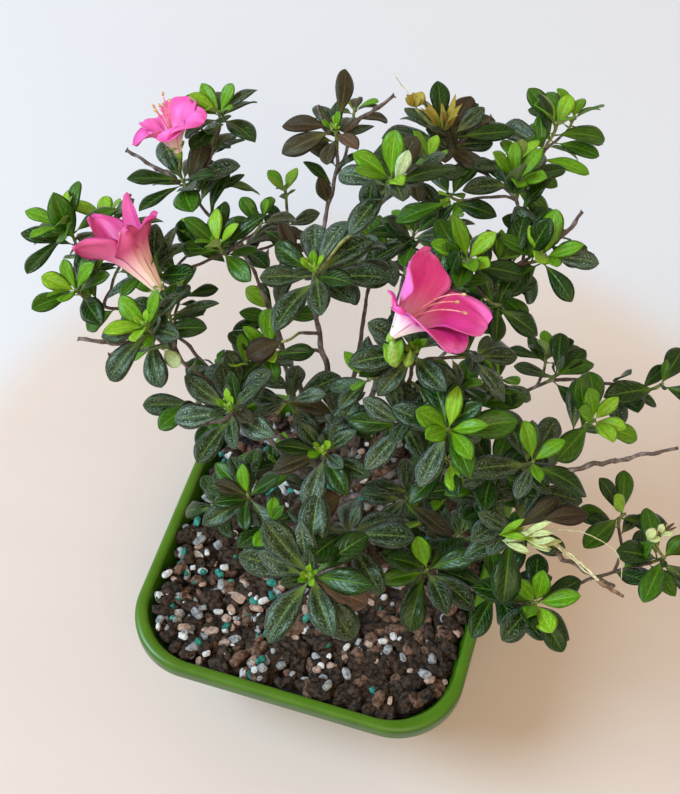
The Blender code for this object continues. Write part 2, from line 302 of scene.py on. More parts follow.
class Shader:
    """A Principled material while its nodes are put together."""

    def __init__(self, name, colour, roughness, **values):
        """values are for the surface's other sockets, with _ for the spaces in their names."""
        self.material = bpy.data.materials.new(name)
        self.material.use_nodes = True
        self.tree = self.material.node_tree
        self.surface = self.tree.nodes["Principled BSDF"]
        self.surface.inputs["Base Color"].default_value = (*colour, 1)
        self.surface.inputs["Roughness"].default_value = roughness
        for socket, value in values.items():
            self.surface.inputs[socket.replace("_", " ")].default_value = value

    def add(self, kind, inputs, output=0, **settings):
        """The output of a new node whose sockets take inputs."""
        node = self.tree.nodes.new("ShaderNode" + kind)
        for name, value in settings.items():
            setattr(node, name, value)
        for socket, value in inputs.items():
            self.feed(node.inputs[socket], value)
        return node.outputs[output]

    def feed(self, socket, value):
        """Links a node's output to the socket, or sets the socket to a number or colour."""
        if isinstance(value, bpy.types.NodeSocket):
            self.tree.links.new(value, socket)
        elif socket.type == "RGBA":
            socket.default_value = (*value, 1)
        else:
            socket.default_value = value

    def math(self, operation, a, b=0.0):
        return self.add("Math", {0: a, 1: b}, operation=operation)

    def times(self, a, b):
        return self.math("MULTIPLY", a, b)

    def most(self, a, b):
        return self.math("MAXIMUM", a, b)

    def total(self, *terms):
        """The sum of the terms, each given as a value and its factor."""
        scaled = [self.times(value, factor) for value, factor in terms]
        result = scaled[0]
        for term in scaled[1:]:
            result = self.math("ADD", result, term)
        return result

    def noise(self, vector, scale, detail=2.0, roughness=0.5):
        inputs = {"Vector": vector, "Scale": scale, "Detail": detail, "Roughness": roughness}
        return self.add("TexNoise", inputs)

    def step(self, value, low, high, to_low=0.0, to_high=1.0):
        """A smooth step from to_low where value is low to to_high where it is high."""
        inputs = {"Value": value, "From Min": low, "From Max": high, "To Min": to_low, "To Max": to_high}
        return self.add("MapRange", inputs, interpolation_type="SMOOTHSTEP")

    def mix(self, factor, a, b):
        """The colour a where factor is 0, and b where it is 1."""
        node = self.tree.nodes.new("ShaderNodeMix")
        node.data_type = "RGBA"
        for socket, value in ((0, factor), (6, a), (7, b)):
            self.feed(node.inputs[socket], value)
        return node.outputs[2]

    def layer(self, below, above, mask, share):
        """The colour below, with that share of the colour above where mask is 1."""
        return self.mix(self.times(mask, share), below, above)

    def place(self):
        return self.add("TexCoord", {}, output="Object")

    def stretched(self, scale):
        """The place in the object, with each axis scaled."""
        return self.add("Mapping", {"Vector": self.place(), "Scale": scale})

    def part_of(self, vector, axis):
        return self.add("SeparateXYZ", {0: vector}, axis)

    def sheet(self):
        """(distance from the middle line, 0 to 1; distance along, 0 to 1) on a leaf or petal's own map."""
        uv = self.add("UVMap", {}, uv_map="OFBake")
        off_middle = self.math("SUBTRACT", self.part_of(uv, 0), 0.5)
        aside = self.math("ABSOLUTE", self.times(off_middle, 2.0))
        along = self.math("FRACT", self.times(self.part_of(uv, 1), MAP_SIDES))
        return aside, along

    def vector(self, x, y, z=0.0):
        return self.add("CombineXYZ", {0: x, 1: y, 2: z})

    def bump(self, height, strength, distance):
        normal = self.add("Bump", {"Height": height, "Strength": strength, "Distance": distance})
        self.feed(self.surface.inputs["Normal"], normal)

    def colour(self, value):
        self.feed(self.surface.inputs["Base Color"], value)

    def roughness(self, value):
        self.feed(self.surface.inputs["Roughness"], value)


VEINS = 8.0  # side veins down each half of a leaf
VEIN_POWER = 1.3  # how late they bend forward
VEIN_REACH = 0.34  # and how far they do, over the leaf's length


def leaf_veins(shader, aside, along):
    """1 on the side veins, which curve forward from the midrib."""
    curved = shader.times(shader.math("POWER", aside, VEIN_POWER), VEIN_REACH)
    phase = shader.times(shader.math("SUBTRACT", along, curved), VEINS)
    off = shader.math("ABSOLUTE", shader.math("SUBTRACT", shader.math("FRACT", phase), 0.5))
    return shader.step(off, 0.16, 0.02)


# How much of the hairs' noise, across them and along them, a leaf's half-width and its length take. The hairs
# lie forward and outward.
ACROSS_HAIRS = (30.0, -98.0)
ALONG_HAIRS = (4.0, 26.0)
# The hairs are denser in soft patches, which are real clusters of hair and also a painted sheen where a lit
# leaf shines.
HAIR_AND_SHEEN_PATCHES = 0.28  # how much denser the hairs are in some places


def leaf_hairs(shader, aside, along, hairiness):
    """1 on the fine pale hairs, which are denser in patches that are partly painted sheen."""
    across = shader.total((aside, ACROSS_HAIRS[0]), (along, ACROSS_HAIRS[1]))
    down = shader.total((aside, ALONG_HAIRS[0]), (along, ALONG_HAIRS[1]))
    grain = shader.noise(shader.vector(across, down), 1.0, 2.0, 0.6)
    sheen_patch = shader.noise(shader.vector(aside, along), 3.2, 1.0)
    grain = shader.total((grain, 1.0), (shader.math("SUBTRACT", sheen_patch, 0.5), HAIR_AND_SHEEN_PATCHES))
    return shader.step(grain, 0.65 - 0.095 * hairiness, 0.70 - 0.065 * hairiness)


# Colours of a kind of leaf: blade, foot, rib, and hairs, whose colour also paints the sheen. hairiness is 0
# to 1.
LeafLook = namedtuple("LeafLook", "blade foot rib hair hairiness roughness under slot")
LEAF_LOOKS = {
    "hairy": LeafLook((0.005, 0.018, 0.001), (0.150, 0.220, 0.006), (0.080, 0.145, 0.012),
                      (0.450, 0.600, 0.530), 0.76, 0.26, (0.120, 0.190, 0.065), "old_leaf"),
    "slate": LeafLook((0.010, 0.031, 0.009), (0.130, 0.200, 0.010), (0.110, 0.180, 0.045),
                      (0.580, 0.720, 0.690), 0.95, 0.24, (0.150, 0.230, 0.110), "old_leaf"),
    "deep": LeafLook((0.005, 0.026, 0.001), (0.075, 0.155, 0.004), (0.062, 0.160, 0.010),
                     (0.220, 0.380, 0.210), 0.25, 0.22, (0.110, 0.210, 0.045), "old_leaf"),
    "green": LeafLook((0.028, 0.095, 0.003), (0.110, 0.230, 0.005), (0.105, 0.240, 0.012),
                      (0.230, 0.370, 0.100), 0.18, 0.26, (0.150, 0.280, 0.055), "old_leaf"),
    "fresh": LeafLook((0.088, 0.235, 0.004), (0.165, 0.345, 0.006), (0.195, 0.400, 0.015),
                      (0.340, 0.530, 0.110), 0.08, 0.30, (0.310, 0.470, 0.100), "young_leaf"),
    "lime": LeafLook((0.185, 0.370, 0.012), (0.260, 0.440, 0.014), (0.310, 0.520, 0.045),
                     (0.440, 0.610, 0.170), 0.08, 0.32, (0.410, 0.560, 0.170), "young_leaf"),
    "bronze": LeafLook((0.024, 0.018, 0.008), (0.100, 0.105, 0.010), (0.085, 0.080, 0.022),
                       (0.330, 0.280, 0.220), 0.65, 0.36, (0.110, 0.100, 0.050), "old_leaf"),
    "dry": LeafLook((0.080, 0.044, 0.030), (0.140, 0.085, 0.025), (0.200, 0.115, 0.060),
                    (0.360, 0.240, 0.170), 0.50, 0.50, (0.170, 0.105, 0.065), "old_leaf"),
    "umber": LeafLook((0.026, 0.013, 0.007), (0.060, 0.042, 0.010), (0.060, 0.038, 0.018),
                      (0.200, 0.140, 0.100), 0.35, 0.45, (0.048, 0.030, 0.020), "old_leaf"),
    "pale": LeafLook((0.420, 0.560, 0.300), (0.300, 0.430, 0.080), (0.520, 0.640, 0.380),
                     (0.640, 0.720, 0.560), 0.30, 0.40, (0.460, 0.580, 0.340), "young_leaf"),
    "straw": LeafLook((0.340, 0.260, 0.035), (0.150, 0.210, 0.020), (0.460, 0.370, 0.080),
                      (0.640, 0.500, 0.200), 0.20, 0.55, (0.420, 0.280, 0.060), "young_leaf"),
    "cream": LeafLook((0.520, 0.580, 0.240), (0.260, 0.420, 0.030), (0.640, 0.680, 0.360),
                      (0.820, 0.820, 0.680), 0.45, 0.50, (0.660, 0.680, 0.440), "young_leaf"),
}


def toned(colour, share, more=0.0):
    return tuple(min(1, channel * share + more) for channel in colour)


def leaf_top(name, look):
    """A leaf's upper side, with its ribs, veins, hairs and painted sheen."""
    surface = {
        "Specular_IOR_Level": 0.30,
        "Specular_Tint": (0.90, 1.0, 0.72, 1),
        "Sheen_Weight": 0.06 * look.hairiness,
        "Sheen_Roughness": 0.35,
    }
    shader = Shader(name + "_leaf_top", look.blade, look.roughness, **surface)
    aside, along = shader.sheet()
    veins = leaf_veins(shader, aside, along)
    rib_edge = shader.math("SUBTRACT", 0.18, shader.times(along, 0.13))
    rib = shader.step(aside, rib_edge, 0.0)
    foot = shader.times(shader.step(along, 0.40, 0.05), shader.step(aside, 1.0, 0.2))
    mottle = shader.noise(shader.vector(aside, along), 7.0, 3.0)
    hairs = leaf_hairs(shader, aside, along, look.hairiness)
    margin = shader.step(aside, 0.86, 0.98)
    # Painted sheen: soft pale patches that stand in for the window's light shining on the hairy blade.
    painted_sheen = shader.step(shader.noise(shader.vector(along, aside, 3.7), 2.6, 1.0), 0.42, 0.72)
    # pale holds the hairs, the hairy margin and the painted sheen.
    pale = shader.most(hairs, shader.times(margin, 0.22))
    pale = shader.most(pale, shader.times(painted_sheen, 0.20 * look.hairiness))
    tone = shader.mix(shader.step(mottle, 0.3, 0.7), toned(look.blade, 0.62), toned(look.blade, 1.25))
    tone = shader.layer(tone, look.rib, veins, 0.20)
    tone = shader.layer(tone, look.foot, foot, 0.85)
    tone = shader.layer(tone, look.rib, rib, 0.85)
    shader.colour(shader.layer(tone, look.hair, pale, 0.14 + 0.46 * look.hairiness))
    shader.roughness(shader.step(hairs, 0.0, 1.0, look.roughness, look.roughness + 0.14))
    height = shader.total((veins, -0.7), (rib, -0.9), (hairs, 0.35), (mottle, 0.8))
    shader.bump(height, 0.55, 0.25 * MM)
    return shader.material


def leaf_under(name, look):
    """A leaf's paler lower side, with its ribs and veins raised."""
    shader = Shader(name + "_leaf_under", look.under, 0.6)
    aside, along = shader.sheet()
    veins = leaf_veins(shader, aside, along)
    rib = shader.step(aside, 0.12, 0.0)
    ribs = shader.most(shader.times(veins, 0.6), rib)
    shader.colour(shader.mix(ribs, look.under, toned(look.under, 1.35, 0.03)))
    shader.bump(shader.total((veins, 1.0), (rib, 1.5)), 0.5, 0.2 * MM)
    return shader.material


BARK_FIBRES = Vector((900, 900, 230))  # per metre along each axis
BARK_PATCHES = 160  # per metre


def bark_material(name, dark, mid, light, scale=1.0):
    """Thin rough bark: long cracks, flakes and paler raised patches. A larger scale makes them finer."""
    shader = Shader(name, mid, 0.85)
    fibres = shader.noise(shader.stretched(BARK_FIBRES * scale), 1.0, 5.0, 0.65)
    patches = shader.noise(shader.place(), BARK_PATCHES * scale, 3.0)
    tone = shader.mix(shader.step(fibres, 0.36, 0.62), dark, mid)
    tone = shader.mix(shader.step(patches, 0.5, 0.75), tone, light)
    shader.colour(tone)
    shader.roughness(shader.step(patches, 0.3, 0.8, 0.92, 0.72))
    shader.bump(shader.total((fibres, 1.0), (patches, 0.5)), 0.8, 0.5 * MM)
    return shader.material


def plain_material(name, dark, light, roughness, scale, depth=0.2 * MM, **values):
    """Two tones of noise, scale of them to a metre, with a matching relief."""
    shader = Shader(name, light, roughness, **values)
    grain = shader.noise(shader.place(), scale, 4.0, 0.6)
    shader.colour(shader.mix(shader.step(grain, 0.35, 0.65), dark, light))
    shader.roughness(shader.step(grain, 0.3, 0.7, min(1.0, roughness + 0.1), roughness - 0.1))
    shader.bump(grain, 0.6, depth)
    return shader.material


# Pieces of one plain material: their names, its two tones, roughness and scale, and the piece's slot.
Stem = namedtuple("Stem", "piece material dark light roughness scale slot")
STEM_LOOKS = {
    "shoot": Stem("shoots", "green_shoot", (0.090, 0.100, 0.022), (0.220, 0.250, 0.060), 0.6, 700, "bark"),
    "dry_style": Stem("dry_styles", "dry_style", (0.095, 0.048, 0.026), (0.27, 0.16, 0.09), 0.6, 700, "bark"),
    "pale_style": Stem("pale_styles", "pale_style", (0.33, 0.33, 0.15), (0.64, 0.60, 0.42), 0.5, 700,
                       "young_leaf"),
    "bud": Stem("buds", "green_bud", (0.14, 0.25, 0.02), (0.27, 0.42, 0.06), 0.5, 900, "young_leaf"),
    "filament": Stem("filaments", "filament", (0.70, 0.18, 0.22), (0.86, 0.38, 0.38), 0.5, 900, "young_leaf"),
    "anther": Stem("anthers", "anther", (0.45, 0.24, 0.12), (0.75, 0.58, 0.30), 0.7, 900, "young_leaf"),
}


def petal_material(name, throat, body, edge, vein):
    """Pink that pales into the throat, with veins along it and an edge of its own."""
    light_reach = (2 * MM, 0.7 * MM, 0.9 * MM)
    shader = Shader(name, body, 0.5, Subsurface_Weight=0.10, Subsurface_Radius=light_reach)
    aside, along = shader.sheet()
    streaks = shader.noise(shader.vector(shader.times(aside, 14.0), along), 1.6, 3.0, 0.6)
    rim = shader.most(shader.step(aside, 0.7, 1.0), shader.step(along, 0.82, 1.0))
    tone = shader.mix(shader.step(along, 0.10, 0.55), throat, body)
    tone = shader.layer(tone, vein, shader.step(streaks, 0.5, 0.68), 0.45)
    shader.colour(shader.layer(tone, edge, rim, 0.55))
    shader.bump(streaks, 0.35, 0.3 * MM)
    return shader.material


# Each colour of petal: the throat, body, edge and veins of its inside, and of its outside.
PETAL_LOOKS = {
    "rose": (((0.86, 0.62, 0.78), (0.760, 0.120, 0.450), (0.660, 0.038, 0.270), (0.55, 0.018, 0.180)),
             ((0.88, 0.72, 0.66), (0.840, 0.230, 0.450), (0.800, 0.140, 0.400), (0.72, 0.090, 0.300))),
    "magenta": (((0.86, 0.50, 0.68), (0.660, 0.032, 0.270), (0.830, 0.200, 0.560), (0.40, 0.006, 0.110)),
                ((0.88, 0.80, 0.76), (0.800, 0.170, 0.520), (0.720, 0.075, 0.390), (0.56, 0.040, 0.260))),
    "salmon": (((0.84, 0.62, 0.52), (0.590, 0.050, 0.240), (0.520, 0.032, 0.220), (0.34, 0.010, 0.110)),
               ((0.86, 0.64, 0.50), (0.620, 0.085, 0.250), (0.480, 0.026, 0.200), (0.36, 0.022, 0.120))),
}


# Leaves

LEAF_ACROSS = 7  # points
LEAF_STATIONS = 18
LEAF_VARIANTS = 9
# Measures of a leaf of length 1.
STALK = 0.07  # its length
STALK_HALF_WIDTHS = (0.017, 0.015)
LEAST_HALF_WIDTHS = (0.014, 0.007)  # of the blade, at its foot and its tip
STALK_THICK = 0.015  # half of it
BLADE_THICK = 0.0065
RIB_THICK = 1.6  # times the blade's, on its lower side
EDGE_CURL = 0.16  # how much further than the fold the sides bend down
ROUND = 0.9999  # keeps a sheet's edges just short of no thickness


def leaf_shape(rng, width, belly, fold, curl):
    """A leaf of length 1 that leaves the origin along +X on its stalk, its upper side towards +Z.

    width is its widest over its length, belly moves that towards the tip, fold lifts its sides and curl bends
    it down."""
    c = np.linspace(-1, 1, LEAF_ACROSS)
    v = 0.5 - 0.5 * np.cos(np.pi * np.linspace(0, 1, LEAF_STATIONS))
    along = np.concatenate([[0, 0], v])
    s = np.concatenate([[0, STALK * 0.6], STALK + (1 - STALK) * v])
    outline = v**belly * (1 - v) ** rng.uniform(0.66, 0.88)
    half = np.maximum(width / 2 * outline / outline.max(), np.where(v < 0.5, *LEAST_HALF_WIDTHS))
    half = np.concatenate([STALK_HALF_WIDTHS, half])[:, None]
    blade = np.concatenate([[0, 0], np.minimum(1, v * 4)])[:, None]
    slope = rng.uniform(0.10, 0.30) - curl * s**1.3
    steps = np.diff(s, prepend=0)
    centre_x = np.cumsum(np.cos(slope) * steps)[:, None]
    centre_z = np.cumsum(np.sin(slope) * steps)[:, None]
    slope = slope[:, None]
    twist = (rng.uniform(-0.5, 0.5) * s**2)[:, None]
    bend = (rng.uniform(-0.10, 0.10) * s**2)[:, None]
    wave = (rng.uniform(0.03, 0.10) * np.sin(s * rng.uniform(7, 12) + rng.uniform(0, 6)))[:, None]
    crease = np.sqrt(c**2 + 0.02) - 0.14
    y = half * c
    z = blade * half * (fold * crease - (fold + EDGE_CURL) * 0.5 * c**4)
    z = z + blade * half * wave * c**2 * np.sign(c)
    y, z = y * np.cos(twist) - z * np.sin(twist), z * np.cos(twist) + y * np.sin(twist)
    x = centre_x - z * np.sin(slope)
    aside = y + bend
    up = centre_z + z * np.cos(slope)
    thick = np.where(s > STALK, BLADE_THICK, STALK_THICK)[:, None] * np.sqrt(1 - c**2 * ROUND)
    rib = np.where(np.abs(c) < 0.01, RIB_THICK, 1.0)
    upper = np.stack([x, aside, up + thick], -1)
    lower = np.stack([x, aside, up - thick * rib], -1)
    return sheet_part(upper, lower, along)


def leaf_set(name, width, belly, fold, curl):
    """Variants of a kind of leaf. Each measure is its (lowest, highest)."""
    rng = seeded("leaf", name)
    measures = (width, belly, fold, curl)
    return [leaf_shape(rng, *(rng.uniform(*measure) for measure in measures)) for _ in range(LEAF_VARIANTS)]


LEAF_SHAPES = {
    "old": leaf_set("old", (0.36, 0.46), (1.10, 1.55), (0.25, 0.75), (0.20, 0.75)),
    "fresh": leaf_set("fresh", (0.39, 0.53), (1.00, 1.40), (0.30, 0.80), (0.15, 0.70)),
    "limp": leaf_set("limp", (0.34, 0.46), (0.85, 1.15), (0.40, 0.90), (0.6, 1.3)),
    "round": leaf_set("round", (0.62, 0.80), (0.80, 1.00), (0.20, 0.60), (0.2, 0.8)),
    "sepal": leaf_set("sepal", (0.22, 0.30), (0.80, 1.00), (0.40, 0.90), (-0.1, 0.5)),
    "strap": leaf_set("strap", (0.14, 0.22), (0.60, 0.90), (0.40, 0.90), (-0.2, 0.7)),
}
LEAF_PARTS = defaultdict(list)  # by look
STEM_PARTS = defaultdict(list)  # tubes of wood, stalks, buds and stamens, by kind


TURN_TO_LIGHT = 0.6
LEAF_TILT = 0.35


def add_leaf(part, forward, upper, length, place, look):
    """A leaf part along forward, its upper side towards upper and its stalk at place."""
    LEAF_PARTS[look].append(moved(part, basis(forward, upper) * length, place))


def put_leaf(rng, look, shape, place, forward, upper, length):
    """One leaf whose upper side is partly turned to the light."""
    tilt = unit(forward).cross(upper) * rng.uniform(-LEAF_TILT, LEAF_TILT)
    upper = unit(Vector(upper) + LIGHT_WAY * TURN_TO_LIGHT + tilt)
    add_leaf(rng.choice(LEAF_SHAPES[shape]), forward, upper, length, place, look)


# The looks of a spray's leaves of each kind, and their chances.
LOOK_CHANCES = {
    "hairy": (("hairy", 0.60), ("slate", 0.24), ("deep", 0.13), ("bronze", 0.03)),
    "deep": (("deep", 0.56), ("green", 0.20), ("hairy", 0.14), ("slate", 0.08), ("bronze", 0.02)),
    "green": (("green", 0.55), ("deep", 0.30), ("slate", 0.10), ("fresh", 0.05)),
    "bronze": (("bronze", 0.42), ("hairy", 0.40), ("dry", 0.04), ("deep", 0.14)),
    "fresh": (("fresh", 0.72), ("lime", 0.28)),
}


def pick_look(rng, kind):
    looks, weights = zip(*LOOK_CHANCES[kind])
    return rng.choices(looks, weights)[0]


def across_axis(axis, turn):
    """The direction square to axis at that angle round it."""
    side = unit(axis.orthogonal())
    return side * math.cos(turn) + axis.cross(side) * math.sin(turn)


def put_tier(rng, tip, axis, tier, count, turn, size, kind):
    """count leaves round the axis, a golden angle apart, their angles and lengths a little uneven."""
    shape = "fresh" if kind == "fresh" else "old"
    for i in range(count):
        around = across_axis(axis, turn + i * GOLDEN_ANGLE + rng.uniform(-0.15, 0.15))
        angle = math.radians(tier.angle + rng.uniform(-9, 9))
        forward = axis * math.cos(angle) + around * math.sin(angle)
        upper = axis * math.sin(angle) - around * math.cos(angle)
        drop = tier.drop * (0.6 + 0.8 * i / max(count, 1))
        foot = tip - axis * drop + around * TWIG_TIP_RADIUS * 0.6
        length = tier.length * size * rng.uniform(0.82, 1.12)
        put_leaf(rng, pick_look(rng, kind), shape, foot, forward, upper, length)


OUTER_SHARE = 0.62  # of a whorl's old leaves


def put_whorl(rng, tip, axis, spray, size, old, fresh):
    """A spray's whorl: old leaves lowest and widest, fresh ones inside them and more upright."""
    turn = math.radians(spray.turn)
    outer = math.ceil(old * OUTER_SHARE)
    put_tier(rng, tip, axis, OUTER, outer, turn, size, spray.kind)
    put_tier(rng, tip, axis, MIDDLE, old - outer, turn + outer * GOLDEN_ANGLE, size, spray.kind)
    if fresh:
        put_tier(rng, tip, axis, FRESH, fresh, turn + 1.1, size, "fresh")
    else:
        put_tier(rng, tip, axis, INNER, 2, turn + 0.7, size * 0.8, spray.kind)


# Wood

Place = namedtuple("Place", "point direction radius owner")  # where a new twig may fork off


def limb_rings(node, sides):
    """The centre and radius of each ring of a CAD limb of that many sides, from its foot up."""
    points = {tuple(round(x, 7) for x in v.co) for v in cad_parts[node].data.vertices}
    points = np.array(sorted(points, key=lambda p: p[2]))
    chord = points[-sides:].mean(0) - points[:sides].mean(0)
    points = points[np.argsort(points @ chord, kind="stable")]
    rings = points[: len(points) // sides * sides].reshape(-1, sides, 3)
    centres = rings.mean(1)
    radii = np.linalg.norm(rings - centres[:, None], axis=2).mean(1)
    return [Vector(c) for c in centres], [float(r) for r in radii]


def smooth_path(points, radii, step):
    """The path through the points, with one every step."""
    lengths = np.concatenate([[0], np.cumsum([(b - a).length for a, b in zip(points, points[1:])])])
    wanted = np.linspace(0, lengths[-1], max(4, round(lengths[-1] / step) + 1))
    fine = []
    for w in wanted:
        i = min(int(np.searchsorted(lengths, w, side="right")) - 1, len(points) - 2)
        t = (w - lengths[i]) / max(lengths[i + 1] - lengths[i], 1e-9)
        p0, p3 = points[max(i - 1, 0)], points[min(i + 2, len(points) - 1)]
        p1, p2 = points[i], points[i + 1]
        m1, m2 = (p2 - p0) * 0.5, (p3 - p1) * 0.5
        a, b, c, d = 2 * t**3 - 3 * t**2 + 1, t**3 - 2 * t**2 + t, -2 * t**3 + 3 * t**2, t**3 - t**2
        fine.append(p1 * a + m1 * b + p2 * c + m2 * d)
    return fine, [float(r) for r in np.interp(wanted, lengths, radii)]


# Where in the noise a path's push to each side is read, so that every run reads the same.
WOBBLE_PLACES = (Vector((72.4, 37.6, 9.2)), Vector((132.0, 11.9, 41.6)), Vector((8.6, 117.6, 75.1)))


def wobble(points, amount, grain, seed):
    """The path with its inner points pushed about by smooth noise."""
    result = []
    for i, point in enumerate(points):
        ends = min(1.0, 4 * i / len(points), 4 * (len(points) - 1 - i) / len(points))
        spot = point * grain / MM + Vector((seed, seed * 0.7, 0))
        push = Vector([noise.noise(spot + place) for place in WOBBLE_PLACES])
        result.append(point + push * amount * ends)
    return result


CAD_TRUNK_SIDES = 15
CAD_BOUGH_SIDES = 7
TRUNK_SIDES = 30
BOUGH_SIDES = 12
LIMB_SHARE = 0.74  # of the CAD boughs' radii, which leaves room for the relief
BOUGH_ROOT = 5  # how far a bough runs into the trunk, in mm
BOUGH_COLLAR = 1.35  # how much thicker it is there
FLARE_HEIGHT = 14 * MM
FLARE_LOBES = 5
FLARE_DEPTH = 0.26  # of the trunk's radius at the soil
FLARE_TURN = 0.9


def grow_trunk():
    """Bark over the CAD trunk, with lobes at the soil."""
    fine, radii = smooth_path(*limb_rings("trunk", CAD_TRUNK_SIDES), 1.2 * MM)
    part = tube(fine, radii, TRUNK_SIDES, 0.22, 0.7)
    rings = part.points.reshape(len(fine), TRUNK_SIDES, 3)
    for ring, point in zip(rings, fine):
        flare = max(0.0, 1 - (point.z - SOIL_TOP) / FLARE_HEIGHT)
        middle = np.array(point)
        offset = ring - middle
        turn = np.arctan2(offset[:, 1], offset[:, 0])
        lobes = 1 + FLARE_DEPTH * flare**2 * np.cos(FLARE_LOBES * turn + FLARE_TURN)
        ring[:, :2] = middle[:2] + offset[:, :2] * lobes[:, None]
        ring[:, 2] = point.z
    STEM_PARTS["bark"].append(part)


def grow_bough(node):
    """Bark over a CAD bough, run into the trunk. Returns where twigs may fork off."""
    points, radii = limb_rings(node, CAD_BOUGH_SIDES)
    start = points[0] - unit(points[1] - points[0]) * BOUGH_ROOT * MM
    radii = [radius * LIMB_SHARE for radius in [radii[0] * BOUGH_COLLAR] + radii]
    fine, radii = smooth_path([start] + points, radii, 1.6 * MM)
    fine = wobble(fine, 1.0 * MM, 0.09, len(node))
    STEM_PARTS["bark"].append(tube(fine, radii, BOUGH_SIDES, 0.25, 0.9))
    places = []
    for i in range(6, len(fine) - 1, 3):
        places.append(Place(fine[i], unit(fine[i + 1] - fine[i - 1]), radii[i], node))
    places.append(Place(fine[-1], unit(fine[-1] - fine[-3]), radii[-1], node))
    return places


SHORTEST_TWIG = 6 * MM
TURN_COST = 0.45  # of a twig that turns away from its parent's way, over its length
SINK_COST = 1.2  # of one that doesn't rise by RISE of its length
RISE = 0.25


def fork_cost(place, tip, name=""):
    """Short twigs that grow on the way their parent grows, and upwards, cost least."""
    if name in PARENTS and place.owner not in PARENTS[name]:
        return math.inf
    way = tip - place.point
    length = way.length
    if length < SHORTEST_TWIG:
        return math.inf
    turn = 1 - way.normalized().dot(place.direction)
    sink = max(0.0, place.point.z + RISE * length - tip.z)
    return length * (1 + TURN_COST * turn) + SINK_COST * sink


def best_fork(places, tip):
    return min(places, key=lambda place: fork_cost(place, tip))


NODE_STEPS = 5  # between the nodes where leaves once grew
NODE_SWELL = 1.16
SHOOT_STEPS = 4  # of the newest, green wood at a twig's tip
THIN_TWIG = {"radius": 0.8 * MM, "tip_radius": 0.55 * MM}


def grow_twig(rng, place, tip, axis, material="twig", radius=TWIG_RADIUS, tip_radius=TWIG_TIP_RADIUS):
    """A twig from that place, bending from its parent's way to the spray's axis.

    Returns its path and radii."""
    way = tip - place.point
    length = way.length
    leave = unit(place.direction * 0.5 + way.normalized() * 0.8 + UP * 0.1)
    steps = max(5, round(length / TWIG_STEP))
    points = bezier(place.point, place.point + leave * length * 0.36, tip - axis * length * 0.34, tip, steps)
    points = wobble(points, 1.6 * MM, 0.11, rng.uniform(0, 50))
    foot = min(place.radius * 0.9, radius)
    radii = [foot + (tip_radius - foot) * i / steps for i in range(steps + 1)]
    for i in range(3, steps, NODE_STEPS):
        radii[i] *= NODE_SWELL
    split = steps - SHOOT_STEPS if material == "twig" else steps
    STEM_PARTS[material].append(tube(points[: split + 1], radii[: split + 1], TWIG_SIDES, 0.12))
    if material == "twig":
        STEM_PARTS["shoot"].append(tube(points[split:], radii[split:], TWIG_SIDES, 0.06))
    return points, radii


CROWN_SPREAD = 210 * MM  # how far out a spray leans by half a right angle


def spray_axis(rng, hub):
    """Sprays face up, and more outwards the further out they are."""
    out = Vector((hub.x, hub.y, 0)) / CROWN_SPREAD
    jitter = Vector((rng.uniform(-0.14, 0.14), rng.uniform(-0.14, 0.14), 0))
    return unit(UP + out + LIGHT_WAY * 0.35 + jitter)


def put_stem_leaves(rng, points, spray, size, count):
    """A few single leaves down the outer half of a twig."""
    for i in range(count):
        share = rng.uniform(0.5, 0.9)
        k = max(1, min(len(points) - 2, round(share * (len(points) - 1))))
        along = unit(points[k + 1] - points[k - 1])
        around = unit(across_axis(along, i * GOLDEN_ANGLE + rng.uniform(0, 6)) + UP * 0.3)
        length = rng.uniform(14, 22) * MM * size
        look = pick_look(rng, spray.kind)
        put_leaf(rng, look, "old", points[k], unit(along * 0.45 + around), unit(UP + along * 0.3), length)


# A bud's foot over its girth, how far towards its tip it is widest, how much its tip narrows and how late,
# and its tube's points, sides and relief.
BudShape = namedtuple("BudShape", "foot widest taper late points sides relief grain")
SMALL_BUD = BudShape(0.3, 0.75, 0.9, 4, 10, 10, 0.12, 1.0)
PLUMP_BUD = BudShape(0.25, 0.7, 0.93, 3, 16, 14, 0.10, 0.5)


def bud_part(foot, way, length, girth, shape):
    path, radii = [], []
    for t in np.linspace(0, 1, shape.points):
        swell = shape.foot + (1 - shape.foot) * math.sin(math.pi * t**shape.widest)
        path.append(foot + way * length * t)
        radii.append(girth * swell * (1 - shape.taper * t**shape.late))
    return tube(path, radii, shape.sides, shape.relief, shape.grain)


def put_bud(rng, tip, axis, size=0.62):
    """A cluster of small pale new leaves and plump pointed buds at a whorl's middle."""
    for i in range(3):
        lean = unit(axis + across_axis(axis, i * GOLDEN_ANGLE + rng.uniform(-0.3, 0.3)) * 0.28)
        length = 8 * MM * size * rng.uniform(0.75, 1.1)
        STEM_PARTS["bud"].append(bud_part(tip - axis * 0.5 * MM, lean, length, 2.2 * MM * size, SMALL_BUD))
    for i in range(5):
        around = across_axis(axis, i * GOLDEN_ANGLE)
        forward = unit(axis + around * rng.uniform(0.3, 0.9))
        part = rng.choice(LEAF_SHAPES["fresh"])
        length = rng.uniform(6.5, 9.5) * MM * size * 1.3
        look = rng.choice(("lime", "lime", "fresh"))
        add_leaf(part, forward, axis - around, length, tip + around * 0.5 * MM, look)


def mass_hub(name):
    """Where a mass's main spray has its tip."""
    low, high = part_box("leaves_" + name)
    return (low + high) / 2 + as_seen(*SHIFTS.get(name, (0, 0, 0))) * MM


